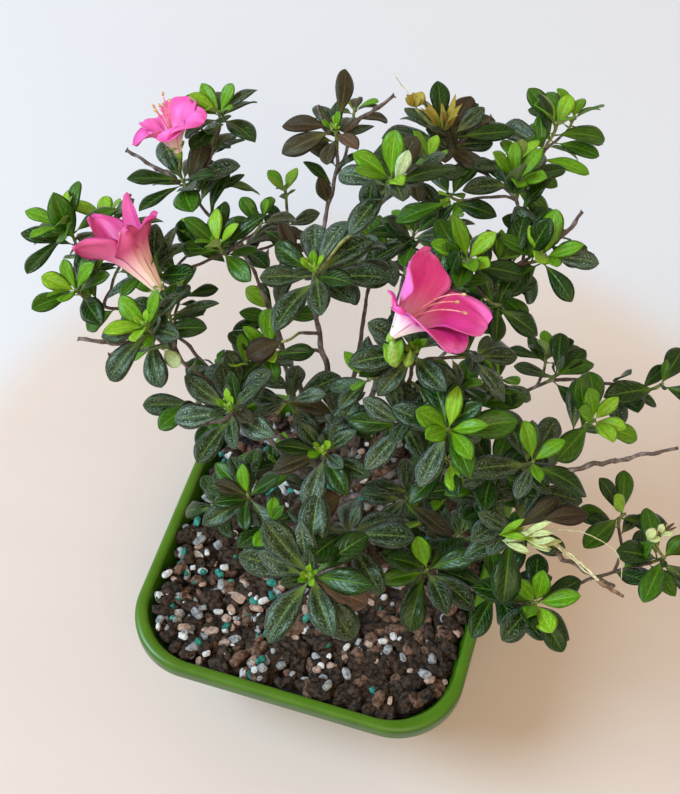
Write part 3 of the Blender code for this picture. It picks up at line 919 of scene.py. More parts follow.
def grow_sprays(places):
    """Joins every mass's spray to the nearest wood, nearest first, and adds its side sprays.

    Returns each spray's (tip, axis)."""
    tips = {}
    waiting = {}
    for name in SPRAYS:
        hub = mass_hub(name)
        waiting[name] = (hub, spray_axis(seeded("axis", name), hub))
    while waiting:
        choices = ((name, place) for name in waiting for place in places)
        name, place = min(choices, key=lambda pair: fork_cost(pair[1], waiting[pair[0]][0], pair[0]))
        hub, axis = waiting.pop(name)
        tips[name] = (hub, axis)
        rng, spray = seeded("spray", name), SPRAYS[name]
        material = "shoot" if name in GREEN_STEMS else "twig"
        points, radii = grow_twig(rng, place, hub, axis, material)
        for i in range(2, len(points) - 3, 2):
            places.append(Place(points[i], unit(points[i + 1] - points[i - 1]), radii[i], name))
        put_whorl(rng, hub, axis, spray, spray.size, spray.old, spray.fresh)
        put_stem_leaves(rng, points, spray, spray.size, min(5, round(len(points) / 4)))
        if spray.bud:
            put_bud(rng, hub, axis)
        for side in range(spray.sides):
            grow_side_spray(rng, points, radii, hub, axis, spray, side)
    return tips


# Sprays between the masses: from a mass's tip, in mm as the camera sees it, with the same measures as the
# others.
Extra = namedtuple("Extra", "mass tip spray")
EXTRAS = (
    Extra("left_front_inner", (20, 3, -14), Spray(0, 6, "hairy", 0, False, 0, 0.95)),
    Extra("left_front_inner", (13, 22, -16), Spray(2, 5, "green", 0, False, 60, 0.85)),
    Extra("front_right_bloom", (-6, 9, -18), Spray(0, 6, "deep", 0, False, 0, 0.95)),
    Extra("front_right_inner", (13, 12, -9), Spray(0, 6, "hairy", 0, False, 40, 0.95)),
    Extra("front_right_low", (-13, 3, -12), Spray(0, 6, "deep", 0, False, 70, 0.95)),
    Extra("front_right_inner", (-7, 26, -12), Spray(0, 6, "hairy", 0, False, 10, 0.9)),
    Extra("right_upper", (2, -12, -22), Spray(2, 5, "deep", 0, False, 55, 0.9)),
    Extra("right_upper", (-15, 2, -10), Spray(0, 8, "hairy", 0, True, 20, 0.95)),
    Extra("right_middle", (-12, -5, -14), Spray(0, 6, "deep", 0, False, 35, 0.9)),
)


def grow_extras(places, tips):
    for number, extra in enumerate(EXTRAS):
        rng, spray = seeded("extra", number), extra.spray
        tip = tips[extra.mass][0] + as_seen(*extra.tip) * MM
        axis = spray_axis(rng, tip)
        points, _ = grow_twig(rng, best_fork(places, tip), tip, axis, **THIN_TWIG)
        put_whorl(rng, tip, axis, spray, spray.size, spray.old, spray.fresh)
        put_stem_leaves(rng, points, spray, spray.size, 2)
        if spray.bud:
            put_bud(rng, tip, axis, 0.5)


def grow_side_spray(rng, points, radii, hub, axis, spray, side):
    """A smaller spray below and beside the main one, from its twig's outer half."""
    k = max(1, min(len(points) - 2, round(rng.uniform(0.4, 0.8) * (len(points) - 1))))
    place = Place(points[k], unit(points[k + 1] - points[k - 1]), radii[k], "")
    around = across_axis(axis, rng.uniform(0, 1.2) + side * GOLDEN_ANGLE)
    tip = hub + around * rng.uniform(15, 24) * MM - axis * rng.uniform(4, 17) * MM
    lean = unit(axis + around * 0.7 + UP * 0.2)
    twig, _ = grow_twig(rng, place, tip, lean, **THIN_TWIG)
    fresh = rng.choice((0, 0, 2, 3))
    put_whorl(rng, tip, lean, spray, spray.size * rng.uniform(0.75, 0.95), rng.randint(4, 6), fresh)
    put_stem_leaves(rng, twig, spray, spray.size * 0.85, 2)


def camera_axes():
    """The ways to the right, upwards and nearer as the camera sees them."""
    azimuth, elevation = math.radians(CAMERA_AZIMUTH), math.radians(CAMERA_ELEVATION)
    x = Vector((math.cos(azimuth), math.sin(azimuth), 0))
    level = Vector((math.sin(azimuth), -math.cos(azimuth), 0))
    back = level * math.cos(elevation) + UP * math.sin(elevation)
    return x, back.cross(x), back


def as_seen(right, up, nearer):
    """A direction given to the right, upwards and nearer as the camera sees it, of the same length."""
    x, y, back = camera_axes()
    return x * right + y * up + back * nearer


def put_bare_twigs(tips):
    """Leafless twig ends with their nodes, a little crooked, each with a split tip."""
    for number, bare in enumerate(BARE_TWIGS):
        rng = seeded("bare", number)
        hub, _ = tips[bare.mass]
        start, end = seen_path(hub, bare.start, bare.end)
        steps = max(5, round((end - start).length / TWIG_STEP))
        middle = (start + end) / 2 + Vector((0, 0, rng.uniform(-1.5, 1.5) * MM))
        points = wobble(bezier(start, middle, middle, end, steps), 1.5 * MM, 0.2, number * 3.7)
        radii = [(0.95 - 0.35 * i / steps) * MM for i in range(steps + 1)]
        for i in range(2, steps, 3):
            radii[i] *= 1.3
        STEM_PARTS["twig"].append(tube(points, radii, TWIG_SIDES, 0.2))
        for _ in range(2):
            around = across_axis(unit(points[-1] - points[-2]), rng.uniform(0, 6))
            spur = [points[-2], points[-1] + around * 0.3 * MM, points[-1] + around * 1.1 * MM]
            STEM_PARTS["twig"].append(tube(spur, [0.6 * MM, 0.5 * MM, 0.3 * MM], 6, 0.2))


# A single leaf that stands out from its spray: its foot, tip and the way its upper side faces, as the camera
# sees them, in mm from the spray's tip.
Stray = namedtuple("Stray", "mass foot tip upper look shape")
STRAYS = (
    Stray("top", (1, -3, 2), (5, 9, 5), (0.2, -0.3, 1), "pale", "fresh"),
    Stray("left_front_inner", (18, 24, -8), (5, 19, -6), (0, 0.2, 1), "umber", "round"),
    Stray("front_tip", (12, 28, -14), (-7, 21, -12), (0.2, 0.1, 1), "umber", "round"),
    Stray("front_tip", (2, -2, -1), (23, -12, -3), (0, 0.3, 1), "dry", "limp"),
    Stray("front_right_bloom", (8, 4, 2), (26, 8, 3), (0, 0.2, 1), "umber", "old"),
    Stray("front_upper", (18, 5, -4), (22, -4, -3), (0.3, 0.2, 1), "dry", "round"),
    Stray("top_left", (1, 3, 0), (4, 23, 0), (0.4, -0.2, 1), "bronze", "old"),
    Stray("top_left", (-1, 1, 0), (-19, 4, -2), (0, 0.3, 1), "umber", "old"),
    Stray("top_left", (-1, 0, 0), (-19, -9, 0), (0, 0.2, 1), "bronze", "old"),
    Stray("centre", (-7, 4, -8), (-11, 19, -8), (0.3, 0.1, 1), "umber", "old"),
    Stray("left_front_tip", (6, -8, 1), (12, -14, 3), (0, 0.3, 1), "pale", "round"),
    Stray("back_top", (-1, 3, 0), (-3, 21, 0), (0.3, -0.3, 1), "deep", "old"),
    Stray("back_top", (3, 2, -1), (10, 17, -2), (-0.3, -0.3, 1), "umber", "fresh"),
    Stray("back_top", (4, 1, 0), (14, 12, -1), (0, -0.4, 1), "slate", "fresh"),
    Stray("back_top", (5, 0, -1), (27, 1, -3), (0, 0.3, 1), "deep", "old"),
)


FAR_STRAY = 10 * MM  # from its spray's tip, where a stray has a twig of its own


def put_strays(places, tips):
    """Each stray leaf, with a thin twig from the nearest wood where its foot is off its spray."""
    for number, stray in enumerate(STRAYS):
        rng = seeded("stray", number)
        hub, _ = tips[stray.mass]
        foot, tip = seen_path(hub, stray.foot, stray.tip)
        way = tip - foot
        if (foot - hub).length > FAR_STRAY:
            place = best_fork(places, foot)
            grow_twig(rng, place, foot, unit(way), radius=0.7 * MM, tip_radius=0.45 * MM)
        part = rng.choice(LEAF_SHAPES[stray.shape])
        add_leaf(part, way, as_seen(*stray.upper), way.length, foot, stray.look)


def put_tuft(rng, foot, way, count, spread, length, look, shape="strap"):
    """Narrow leaves or dried sepals that fan out from one foot."""
    for i in range(count):
        forward = unit(way + across_axis(way, i * GOLDEN_ANGLE) * spread * rng.uniform(0.4, 1.1))
        part = rng.choice(LEAF_SHAPES[shape])
        add_leaf(part, forward, UP + way * 0.1, length * rng.uniform(0.75, 1.15), foot, look)


THREAD_STEPS = 16
THREAD_TAPER = 0.35


def put_thread(points, radius, material, curl):
    """A thin crooked stalk or style on the curve of four points. radius and curl are in mm."""
    path = wobble(bezier(*points, THREAD_STEPS), curl * MM, 0.3, points[0].x * 900)
    radii = [radius * (1 - THREAD_TAPER * i / THREAD_STEPS) * MM for i in range(THREAD_STEPS + 1)]
    STEM_PARTS[material].append(tube(path, radii, 7, 0.15))


def seen_path(hub, *ways):
    """Points at those distances from hub, in mm as the camera sees them."""
    return [hub + as_seen(*way) * MM for way in ways]


# A spent flower's tufts of sepals and petals: foot and way as the camera sees them, count and look.
SPENT_TUFTS = (
    ((-6, -1, 3), (1, 0.2, 0.6), 5, "lime"),
    ((-5, -3, 4), (1, -0.1, 0.5), 6, "cream"),
    ((1, -1, 5), (1, 0.0, 0.3), 5, "cream"),
    ((4, -4, 5), (1, -0.1, 0.5), 5, "cream"),
)
# Its dry styles and stalk: four points of each, radius, material and how crooked it is.
SPENT_THREADS = (
    (((8, -1, 4), (18, -6, 6), (24, -12, 5), (30, -18, 4)), 0.7, "pale_style", 0.7),
    (((29, -17, 4), (31, -19, 4), (34, -20, 3), (38, -23, 3)), 0.95, "dry_style", 0.7),
    (((8, 0, 4), (14, -4, 7), (20, -11, 6), (29, -17, 4)), 0.45, "pale_style", 0.8),
    (((12, 1, 4), (26, 1, 6), (39, -4, 5), (37, -17, 4)), 0.22, "pale_style", 0.8),
)


def put_back_remains(rng, hub, axis):
    """A spent flower's straw-coloured remains, and the stalk, petals and style of another."""
    put_tuft(rng, hub, unit(axis + as_seen(-0.2, 0.4, 0.3)), 11, 0.70, 17 * MM, "straw")
    put_tuft(rng, hub, axis, 5, 0.8, 11 * MM, "lime")
    stalk = seen_path(hub, (-1, 0, 1), (-4, 4, 3), (-9, 7, 4), (-11, 10, 4))
    put_thread(stalk, 0.8, "shoot", 0.5)
    put_tuft(rng, stalk[-1], unit(as_seen(-0.2, 1, 0.2)), 6, 0.8, 6.5 * MM, "straw", "round")
    style = seen_path(hub, (-12, 15, 4), (-17, 18, 5), (-19, 23, 4))
    put_thread([stalk[-1]] + style, 0.28, "pale_style", 0.6)


def put_front_remains(rng, hub):
    """A spent flower's pale sepals and petals, with long styles on a bent stalk."""
    for foot, reach, count, look in SPENT_TUFTS:
        start, way = hub + as_seen(*foot) * MM, unit(as_seen(*reach))
        put_tuft(rng, start, way, count, 0.45, 11.5 * MM, look, "sepal")
    for points, radius, material, curl in SPENT_THREADS:
        put_thread(seen_path(hub, *points), radius, material, curl)


def put_far_remains(rng, hub):
    """Two small withered buds on stalks."""
    for foot in ((-7, 7, 2), (-3, 9, 2)):
        start = hub + as_seen(*foot) * MM
        tip = start + as_seen(2, 1, 1) * MM
        put_tuft(rng, start, unit(as_seen(0.7, 0.5, 0.5)), 4, 0.5, 6 * MM, "cream", "round")
        put_tuft(rng, tip, unit(as_seen(0.6, 0.7, 0.3)), 3, 0.8, 5 * MM, "dry", "strap")
        put_thread(seen_path(hub, (0, 0, 0), (-2, 2, 0), (-4, 4, 1), foot), 0.6, "shoot", 0.4)


def put_spent_flowers(tips):
    """What is left of older flowers, and the flower buds still to open."""
    rng = seeded("spent")
    put_back_remains(rng, *tips["back_top"])
    put_front_remains(rng, tips["front_right_bloom"][0])
    put_far_remains(rng, tips["right_far_tip"][0])
    hub, _ = tips["centre_bloom"]
    put_plump_bud(rng, hub + as_seen(-7, -6, 8) * MM, unit(as_seen(-0.12, 1, 0.35)), 12 * MM, 2.7 * MM)
    put_plump_bud(rng, hub + as_seen(-3, -6, 7) * MM, unit(as_seen(0.2, 1, 0.5)), 7 * MM, 1.7 * MM)


def put_plump_bud(rng, foot, way, length, girth):
    """A flower bud in its green scales."""
    STEM_PARTS["bud"].append(bud_part(foot, way, length, girth, PLUMP_BUD))
    put_tuft(rng, foot, way, 4, 0.35, length * 0.62, "lime", "round")
    put_tuft(rng, foot, way, 4, 0.50, length * 0.8, "fresh", "limp")


# Flowers

PETAL_ACROSS = 15  # points
PETAL_STATIONS = 26
PETAL_THICK = 0.16 * MM  # half of it
TUBE_RADIUS = 1.3  # at the flower's foot, in mm
PARTING = 0.22  # along a lobe, where it starts to go its own way
OWN_WAY = 0.48  # how much further along it has
PETAL_PARTS = defaultdict(list)  # by colour

# A lobe of a flower: its turn round the axis in degrees, how far it reaches out from the axis and rises along
# it, its half-width, how pointed it is and how far it rolls back at its tip. Lengths are in mm.
Lobe = namedtuple("Lobe", "turn reach rise half_width point roll")
# A flower's foot is from its spray's tip, in mm. Like its axis and the way that turn 0 faces, it is as the
# camera sees it: right, up, nearer. stand_out is the stamens' length over the lobes' rise, and bend how far
# they lean, in mm.
Flower = namedtuple("Flower", "mass foot axis facing colour throat stamens stand_out bend lobes")
FLOWERS = {
    "back": Flower(
        "back_left_bloom", (0, 8, 9), (-0.25, 0.80, 0.54), (0, -1, 1), "rose", 6.0, 5, 1.25, (-1, 2, 0),
        (Lobe(0, 12, 15, 10.5, 0.42, 5), Lobe(70, 17, 15, 11.5, 0.40, 3), Lobe(144, 15, 16, 10.0, 0.44, 1),
         Lobe(214, 17, 14, 10.0, 0.42, 4), Lobe(290, 16, 13, 10.0, 0.44, 4)),
    ),
    "left": Flower(
        "left_bloom", (6, -10, 9), (-0.58, 0.80, 0.0), (0, 0, 1), "salmon", 9.0, 4, 0.7, (0, 0, 0),
        (Lobe(-160, 17, 41, 9.5, 0.90, 0), Lobe(-58, 19, 30, 13.0, 0.85, 0), Lobe(20, 13, 25, 10.0, 0.85, 0),
         Lobe(66, 17, 27, 7.5, 0.70, 4), Lobe(120, 13, 39, 8.0, 0.95, 0)),
    ),
    "centre": Flower(
        "centre_bloom", (-8, 4.5, 11.5), (0.62, 0.62, 0.48), (0, 1, 0), "magenta", 10.0, 2, 1.05, (8, -6, 1),
        (Lobe(-134, 21, 23, 14.5, 0.42, -1), Lobe(-20, 16, 26, 11.0, 0.40, 0), Lobe(28, 13, 24, 9.5, 0.45, 0),
         Lobe(88, 14, 16, 9.0, 0.50, 3), Lobe(166, 23, 19, 15.0, 0.40, 1)),
    ),
}


def lobe_relief(rng, c, t):
    """How far places on a lobe stand out from its smooth sheet. c is -1 to 1 across it, t 0 to 1 along it."""
    free = np.maximum(0, t - 0.35)
    along = np.sin(np.pi * t)

    def waves(height, across, down):
        return height * MM * np.sin(c * across + t * down + rng.uniform(0, 6)) * free

    ruffle = waves(2.6, 4, 9) * c**2
    cup = (c**2 - 0.3) * 2.4 * MM * free * rng.uniform(-0.5, 1.0)
    pleats = waves(1.5, 6, 0) * along
    crumple = waves(0.55, 9, 16) + waves(0.35, 15, -11)
    overlap = 0.9 * MM * c * np.clip((t - 0.32) * 2.5, 0, 1)
    crease = -0.6 * MM * np.exp(-((c / 0.14) ** 2)) * along
    return ruffle + cup + pleats + crumple + overlap + crease


def lobe_part(rng, lobe, tube_turn, throat, tube_reach, tube_rise):
    """One of a corolla's lobes with its share of the tube, round +Z, the flower's foot at the origin.

    tube_turn is its share's place round the tube. tube_reach and tube_rise are the whole corolla's, which the
    lobe follows until it parts from the tube."""
    t = 0.5 - 0.5 * np.cos(np.pi * np.linspace(0, 1, PETAL_STATIONS))
    s = 1 - t
    own = np.clip((t - PARTING) / OWN_WAY, 0, 1)
    own = own * own * (3 - 2 * own)
    turn = np.radians(tube_turn + (lobe.turn - tube_turn) * own)[:, None]
    reach = tube_reach + (lobe.reach * MM - tube_reach) * own
    rise = tube_rise + (lobe.rise * MM - tube_rise) * own
    near, far = 3 * s * s * t, 3 * s * t * t
    throat = throat * MM
    r = s**3 * TUBE_RADIUS * MM + near * throat * 0.55 + far * (throat * 1.25) + t**3 * reach
    z = near * rise * 0.50 + far * rise * 1.02 + t**3 * rise
    rolled = np.maximum(0, t - 0.62) ** 2 / 0.38**2 * lobe.roll * MM
    z, r = z - rolled, r - rolled * 0.25
    fifth = math.pi / 5 * (1.02 + 1.8 * np.maximum(0, t - 0.32))
    taper = np.minimum(1, (1 - t) ** lobe.point * 1.75)
    half = np.minimum(fifth, (lobe.half_width * MM * taper + 0.25 * MM) / np.maximum(r, 1e-6))
    c = np.linspace(-1, 1, PETAL_ACROSS)
    angle = turn + half[:, None] * c
    slope_r, slope_z = np.gradient(r), np.gradient(z)
    size = np.hypot(slope_r, slope_z)
    out = lobe_relief(rng, c, t[:, None])
    r = r[:, None] - out * (slope_z / size)[:, None]
    z = z[:, None] + out * (slope_r / size)[:, None]
    middle = np.stack([r * np.cos(angle), r * np.sin(angle), z], -1)
    normal = np.cross(np.gradient(middle, axis=0), np.gradient(middle, axis=1))
    normal /= np.linalg.norm(normal, axis=2, keepdims=True)
    normal *= PETAL_THICK * np.sqrt(1 - c**2 * ROUND)[:, None]
    return sheet_part(middle + normal, middle - normal, t)


def put_corolla(rng, flower, foot, axis, tube_reach, tube_rise):
    """A flower's lobes, joined into a tube."""
    facing = as_seen(*flower.facing)
    facing = unit(facing - axis * facing.dot(axis))
    turned = np.array(Matrix((facing, axis.cross(facing), axis)).transposed())
    count = len(flower.lobes)
    first = sum(lobe.turn for lobe in flower.lobes) / count - (count - 1) * 180 / count
    for number, lobe in enumerate(flower.lobes):
        part = lobe_part(rng, lobe, first + number * 360 / count, flower.throat, tube_reach, tube_rise)
        PETAL_PARTS[flower.colour].append(moved(part, turned, foot))


def put_stamens(rng, flower, foot, axis, tube_rise):
    """Filaments with their anthers, and last the style, which is longer."""
    for i in range(flower.stamens + 1):
        around = across_axis(axis, i * 2 * math.pi / 5 + rng.uniform(-0.3, 0.3))
        share = 1.2 if i == flower.stamens else rng.uniform(0.85, 1.0)
        length = tube_rise * flower.stand_out * share
        end = foot + axis * length + around * rng.uniform(1.0, 4.0) * MM + as_seen(*flower.bend) * MM
        points = bezier(foot, foot + axis * length * 0.4, foot + axis * length * 0.8 + around * MM, end, 12)
        STEM_PARTS["filament"].append(tube(points, [0.26 * MM] * 13, 6))
        tip = [end + unit(end - points[-2]) * x * MM for x in (-0.5, 0.1, 0.7, 1.2)]
        STEM_PARTS["anther"].append(tube(tip, [x * MM for x in (0.3, 0.62, 0.55, 0.15)], 6))


def put_flower(name, flower, tips):
    """A flower with its lobes, stamens, style, calyx and stalk."""
    rng = seeded("flower", name)
    hub, stem_axis = tips[flower.mass]
    foot = hub + as_seen(*flower.foot) * MM
    axis = unit(as_seen(*flower.axis))
    count = len(flower.lobes)
    tube_reach = sum(lobe.reach for lobe in flower.lobes) / count * MM
    tube_rise = sum(lobe.rise for lobe in flower.lobes) / count * MM
    put_corolla(rng, flower, foot, axis, tube_reach, tube_rise)
    put_stamens(rng, flower, foot, axis, tube_rise)
    put_calyx(rng, foot, axis)
    stalk = bezier(hub, hub + stem_axis * 3 * MM, foot - axis * 4 * MM, foot - axis * 1.5 * MM, 8)
    STEM_PARTS["shoot"].append(tube(stalk, [0.75 * MM] * 9, TWIG_SIDES))


def put_calyx(rng, foot, axis):
    """Five narrow sepals round the flower's foot, in a small cup."""
    for i in range(5):
        around = across_axis(axis, i * 2 * math.pi / 5 + 0.3)
        place = foot - axis * 1.2 * MM + around * 0.7 * MM
        part = rng.choice(LEAF_SHAPES["limp"])
        add_leaf(part, unit(axis + around * 0.35), -around, 6 * MM, place, "lime")
    cup = [foot + axis * x * MM for x in (-3.0, -2.0, -0.5, 1.0, 2.0)]
    STEM_PARTS["bud"].append(tube(cup, [x * MM for x in (0.6, 1.2, 1.7, 1.6, 0.9)], 10))


# Soil

# A kind of grain: how many, its least and greatest size in mm, its height over its width, its tones and its
# roughness.
Grain = namedtuple("Grain", "count size flat dark light roughness")
GRAINS = {
    "bark_chips": Grain(1500, (3.4, 8.0), 0.42, (0.005, 0.003, 0.001), (0.050, 0.030, 0.019), 0.85),
    "brown_chips": Grain(330, (3.0, 7.0), 0.50, (0.048, 0.024, 0.015), (0.170, 0.098, 0.066), 0.9),
    "pumice": Grain(115, (2.6, 5.0), 0.75, (0.220, 0.140, 0.105), (0.450, 0.320, 0.260), 0.9),
    "grey_grit": Grain(230, (2.4, 5.4), 0.70, (0.130, 0.135, 0.140), (0.330, 0.340, 0.350), 0.9),
    "white_grit": Grain(105, (2.2, 4.8), 0.78, (0.360, 0.360, 0.360), (0.640, 0.640, 0.630), 0.9),
    "green_granules": Grain(80, (2.4, 4.6), 0.85, (0.008, 0.085, 0.070), (0.035, 0.250, 0.200), 0.7),
}
LEFT_GRAINS = {"green_granules": 1.0, "white_grit": 0.9, "grey_grit": 0.85}  # how far each keeps to the left
GRAIN_CUTS = 3  # along each side of the cube that a grain starts from
GRAIN_RELIEF = 0.34
SOIL_REACH = 68.6 * MM  # from the middle, where grains may lie
SOIL_CORNER = 25 * MM
SOIL_BANK = 4.5 * MM  # how far the grains are heaped against the rim
BANK_WIDTH = 9 * MM
TRUNK_ROOM = 9 * MM
LAYER_STEP = 0.3 * MM  # how much higher each kind lies than the one before


def cube_ball(cuts):
    """Points and faces of a cube blown up into a ball."""
    points, index, faces = [], {}, []

    def corner(p):
        key = tuple(round(x, 6) for x in p)
        if key not in index:
            index[key] = len(points)
            points.append(unit(p))
        return index[key]

    for axis in range(3):
        for sign in (-1, 1):
            for i in range(cuts):
                for j in range(cuts):
                    quad = []
                    for a, b in ((0, 0), (1, 0), (1, 1), (0, 1)):
                        flat = (2 * (i + a) / cuts - 1, 2 * (j + b) / cuts - 1)
                        p = [0, 0, 0]
                        p[axis], p[(axis + 1) % 3], p[(axis + 2) % 3] = sign, *flat
                        quad.append(corner(p))
                    faces.append(quad if sign > 0 else quad[::-1])
    return np.array(points), np.array(faces)


def in_pot(x, y, inset=0.0):
    """Whether a level place is inside the pot's round square."""
    reach = SOIL_REACH - inset
    straight = reach - SOIL_CORNER
    dx, dy = max(abs(x) - straight, 0), max(abs(y) - straight, 0)
    return math.hypot(dx, dy) < SOIL_CORNER


def grain_shape(rng, ball, grain, x, y, size, layer):
    """The points of one uneven grain, turned any way and lying on the soil."""
    widths = (rng.uniform(0.9, 1.5), rng.uniform(0.65, 1.0), grain.flat * rng.uniform(0.8, 1.2))
    shift = Vector((rng.uniform(0, 99), rng.uniform(0, 99), rng.uniform(0, 99)))
    shape = np.array([p * (1 + GRAIN_RELIEF * noise.noise(Vector(p) * 1.3 + shift)) for p in ball])
    shape = np.sign(shape) * np.abs(shape) ** rng.uniform(0.75, 1.0) * np.array(Vector(widths)) * size
    turn = Matrix.Rotation(rng.uniform(0, 6.28), 3, "Z") @ Matrix.Rotation(rng.gauss(0, 0.35), 3, "X")
    height = SOIL_TOP + size * grain.flat * 0.6 + layer * LAYER_STEP + rng.uniform(-0.8, 1.6) * MM
    if not in_pot(x, y, BANK_WIDTH):
        height += rng.uniform(0, 1) * SOIL_BANK
    return shape @ np.array(turn).T + np.array((x, y, height))


def put_grains():
    """Loose grains over the whole top of the soil, the small bright ones last and so on top."""
    ball, faces = cube_ball(GRAIN_CUTS)
    maps, slots = np.zeros((len(faces), 4, 2)), np.zeros(len(faces), int)
    foot = limb_rings("trunk", CAD_TRUNK_SIDES)[0][0]
    for layer, (name, grain) in enumerate(GRAINS.items()):
        rng = seeded("grains", name)
        parts = []
        while len(parts) < grain.count:
            x, y = rng.uniform(-SOIL_REACH, SOIL_REACH), rng.uniform(-SOIL_REACH, SOIL_REACH)
            size = rng.uniform(*grain.size) * MM / 2
            if x > rng.uniform(-30, 60) * MM and rng.random() < LEFT_GRAINS.get(name, 0):
                continue
            if not in_pot(x, y, size * 0.7) or math.hypot(x - foot.x, y - foot.y) < TRUNK_ROOM:
                continue
            parts.append(Part(grain_shape(rng, ball, grain, x, y, size, layer), faces, maps, slots))
        look = (grain.dark, grain.light, grain.roughness, 500, 0.4 * MM)
        material = plain_material("soil_" + name, *look, Specular_IOR_Level=0.25)
        make_piece("soil_" + name, parts, [material], smooth=False)


def colour_soil():
    """Dark damp soil on the CAD root ball, which shows between the grains."""
    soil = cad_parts["soil"].data
    look = ((0.010, 0.007, 0.006), (0.035, 0.022, 0.018), 0.95, 300, 0.6 * MM)
    soil.materials.clear()
    soil.materials.append(plain_material("damp_soil", *look))


# Pot

POT_LIP = 9 * MM  # height of the lip
POT_PROUD = 3 * MM  # how far it stands out from the wall
POT_RIM = 5.2 * MM  # width of the rim's top
POT_WALL = 4.5 * MM
POT_FLOOR = 8 * MM
FOOT_SHARE = 104 / 150  # of the rim's side
WALL_CURVE = 0.85
WALL_SHARES = (0.08, 0.2, 0.35, 0.5, 0.65, 0.8, 0.92, 0.995)  # heights of the wall's rings, under the lip
CORNER_SHARE = 0.4  # a corner's radius over half the side
CORNER_POINTS = 28
SIDE_POINTS = 10
DRAIN_PLACE = 22 * MM
DRAIN_RADIUS = 6.5 * MM


def round_square(half):
    """Level points of a square with round corners."""
    corner = half * CORNER_SHARE
    straight = half - corner
    points = []
    for quarter, (x, y) in enumerate(((1, 1), (-1, 1), (-1, -1), (1, -1))):
        turn = quarter * math.pi / 2
        for step in range(CORNER_POINTS):
            angle = turn + step / (CORNER_POINTS - 1) * math.pi / 2
            points.append((x * straight + corner * math.cos(angle), y * straight + corner * math.sin(angle)))
        way = turn + math.pi
        for step in range(1, SIDE_POINTS):
            back = 2 * straight * step / SIDE_POINTS
            points.append((points[-step][0] + back * math.cos(way), points[-step][1] + back * math.sin(way)))
    return points


def quarter_round(centre, radius, start, steps=6):
    """(half side, height) round a quarter circle, from the angle start in quarters, counted up."""
    turns = [math.pi / 2 * (start + i / steps) for i in range(steps + 1)]
    return [(centre[0] + radius * math.cos(turn), centre[1] + radius * math.sin(turn)) for turn in turns]


def pot_outline():
    """(half side, height) from the underside up the outside, over the rim and down inside to the floor."""
    half, top = POT_BOX[1].x, POT_BOX[1].z
    lip = top - POT_LIP
    foot = half * FOOT_SHARE

    def wall(height):
        return foot + (half - POT_PROUD - foot) * (height / lip) ** WALL_CURVE

    outline = [(foot - 4 * MM, 0)] + quarter_round((foot - 1.2 * MM, 1.2 * MM), 1.2 * MM, 3)
    outline += [(wall(lip * share), lip * share) for share in WALL_SHARES]
    outline += quarter_round((half - 1.4 * MM, lip + 1.4 * MM), 1.4 * MM, 3)
    outline += quarter_round((half - 2.2 * MM, top - 2.2 * MM), 2.2 * MM, 0, 10)
    outline += quarter_round((half - POT_RIM + 2.0 * MM, top - 2.0 * MM), 2.0 * MM, 1, 10)
    outline += [(wall(height) - POT_WALL, height) for height in (lip, lip * 0.7, lip * 0.4, POT_FLOOR)]
    return outline


def glaze_material():
    """A thick moss-green glaze, with darker clouds and runs and a paler rim."""
    surface = {"Coat_Weight": 0.15, "Coat_Roughness": 0.25, "Specular_IOR_Level": 0.25}
    shader = Shader("moss_glaze", (0.10, 0.27, 0.02), 0.2, **surface)
    cloud = shader.noise(shader.place(), 55, 4.0, 0.6)
    speck = shader.noise(shader.place(), 900, 2.0)
    run = shader.noise(shader.stretched((120, 120, 18)), 1.0, 3.0)
    height = shader.part_of(shader.place(), 2)
    rim = shader.step(height, POT_BOX[1].z - 2.2 * MM, POT_BOX[1].z - 0.1 * MM)
    tone = shader.mix(shader.step(cloud, 0.35, 0.65), (0.020, 0.078, 0.001), (0.040, 0.122, 0.001))
    tone = shader.layer(tone, (0.030, 0.105, 0.004), shader.step(run, 0.5, 0.7), 0.5)
    tone = shader.layer(tone, (0.085, 0.175, 0.010), rim, 0.5)
    shader.colour(shader.mix(shader.step(speck, 0.70, 0.76), tone, (0.030, 0.070, 0.010)))
    shader.roughness(shader.step(cloud, 0.3, 0.7, 0.28, 0.42))
    shader.bump(shader.total((cloud, 1.0), (speck, 0.15)), 0.25, 0.6 * MM)
    return shader.material


def make_drill(x):
    """A round bar through the pot's floor at x."""
    bm = bmesh.new()
    size = {"radius1": DRAIN_RADIUS, "radius2": DRAIN_RADIUS, "depth": 3 * POT_FLOOR}
    place = Matrix.Translation((x, 0, 0))
    bmesh.ops.create_cone(bm, cap_ends=True, segments=64, matrix=place, **size)
    mesh = bpy.data.meshes.new("drill")
    bm.to_mesh(mesh)
    bm.free()
    return add_object("drill", mesh)


def make_pot():
    """The glazed pot as one smooth closed shell with its drain holes, in the CAD pot's place."""
    rings = np.array([[(x, y, height) for x, y in round_square(half)] for half, height in pot_outline()])
    pot = make_piece("glazed_pot", [tube_part(rings[:, ::-1])], [glaze_material()])
    drills = [make_drill(x) for x in (-DRAIN_PLACE, DRAIN_PLACE)]
    for drill in drills:
        cut = pot.modifiers.new("drain", "BOOLEAN")
        cut.operation = "DIFFERENCE"
        cut.object = drill
    bpy.context.view_layer.update()
    shape = bpy.data.meshes.new_from_object(pot.evaluated_get(bpy.context.evaluated_depsgraph_get()))
    pot.modifiers.clear()
    pot.data = shape
    shape.set_sharp_from_angle(angle=math.radians(50))
    for drill in drills:
        bpy.data.objects.remove(drill)
    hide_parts("pot")


# Stage


FLOOR_REACH = 4.0
FLOOR_DROP = 0.5 * MM  # below the pot's underside


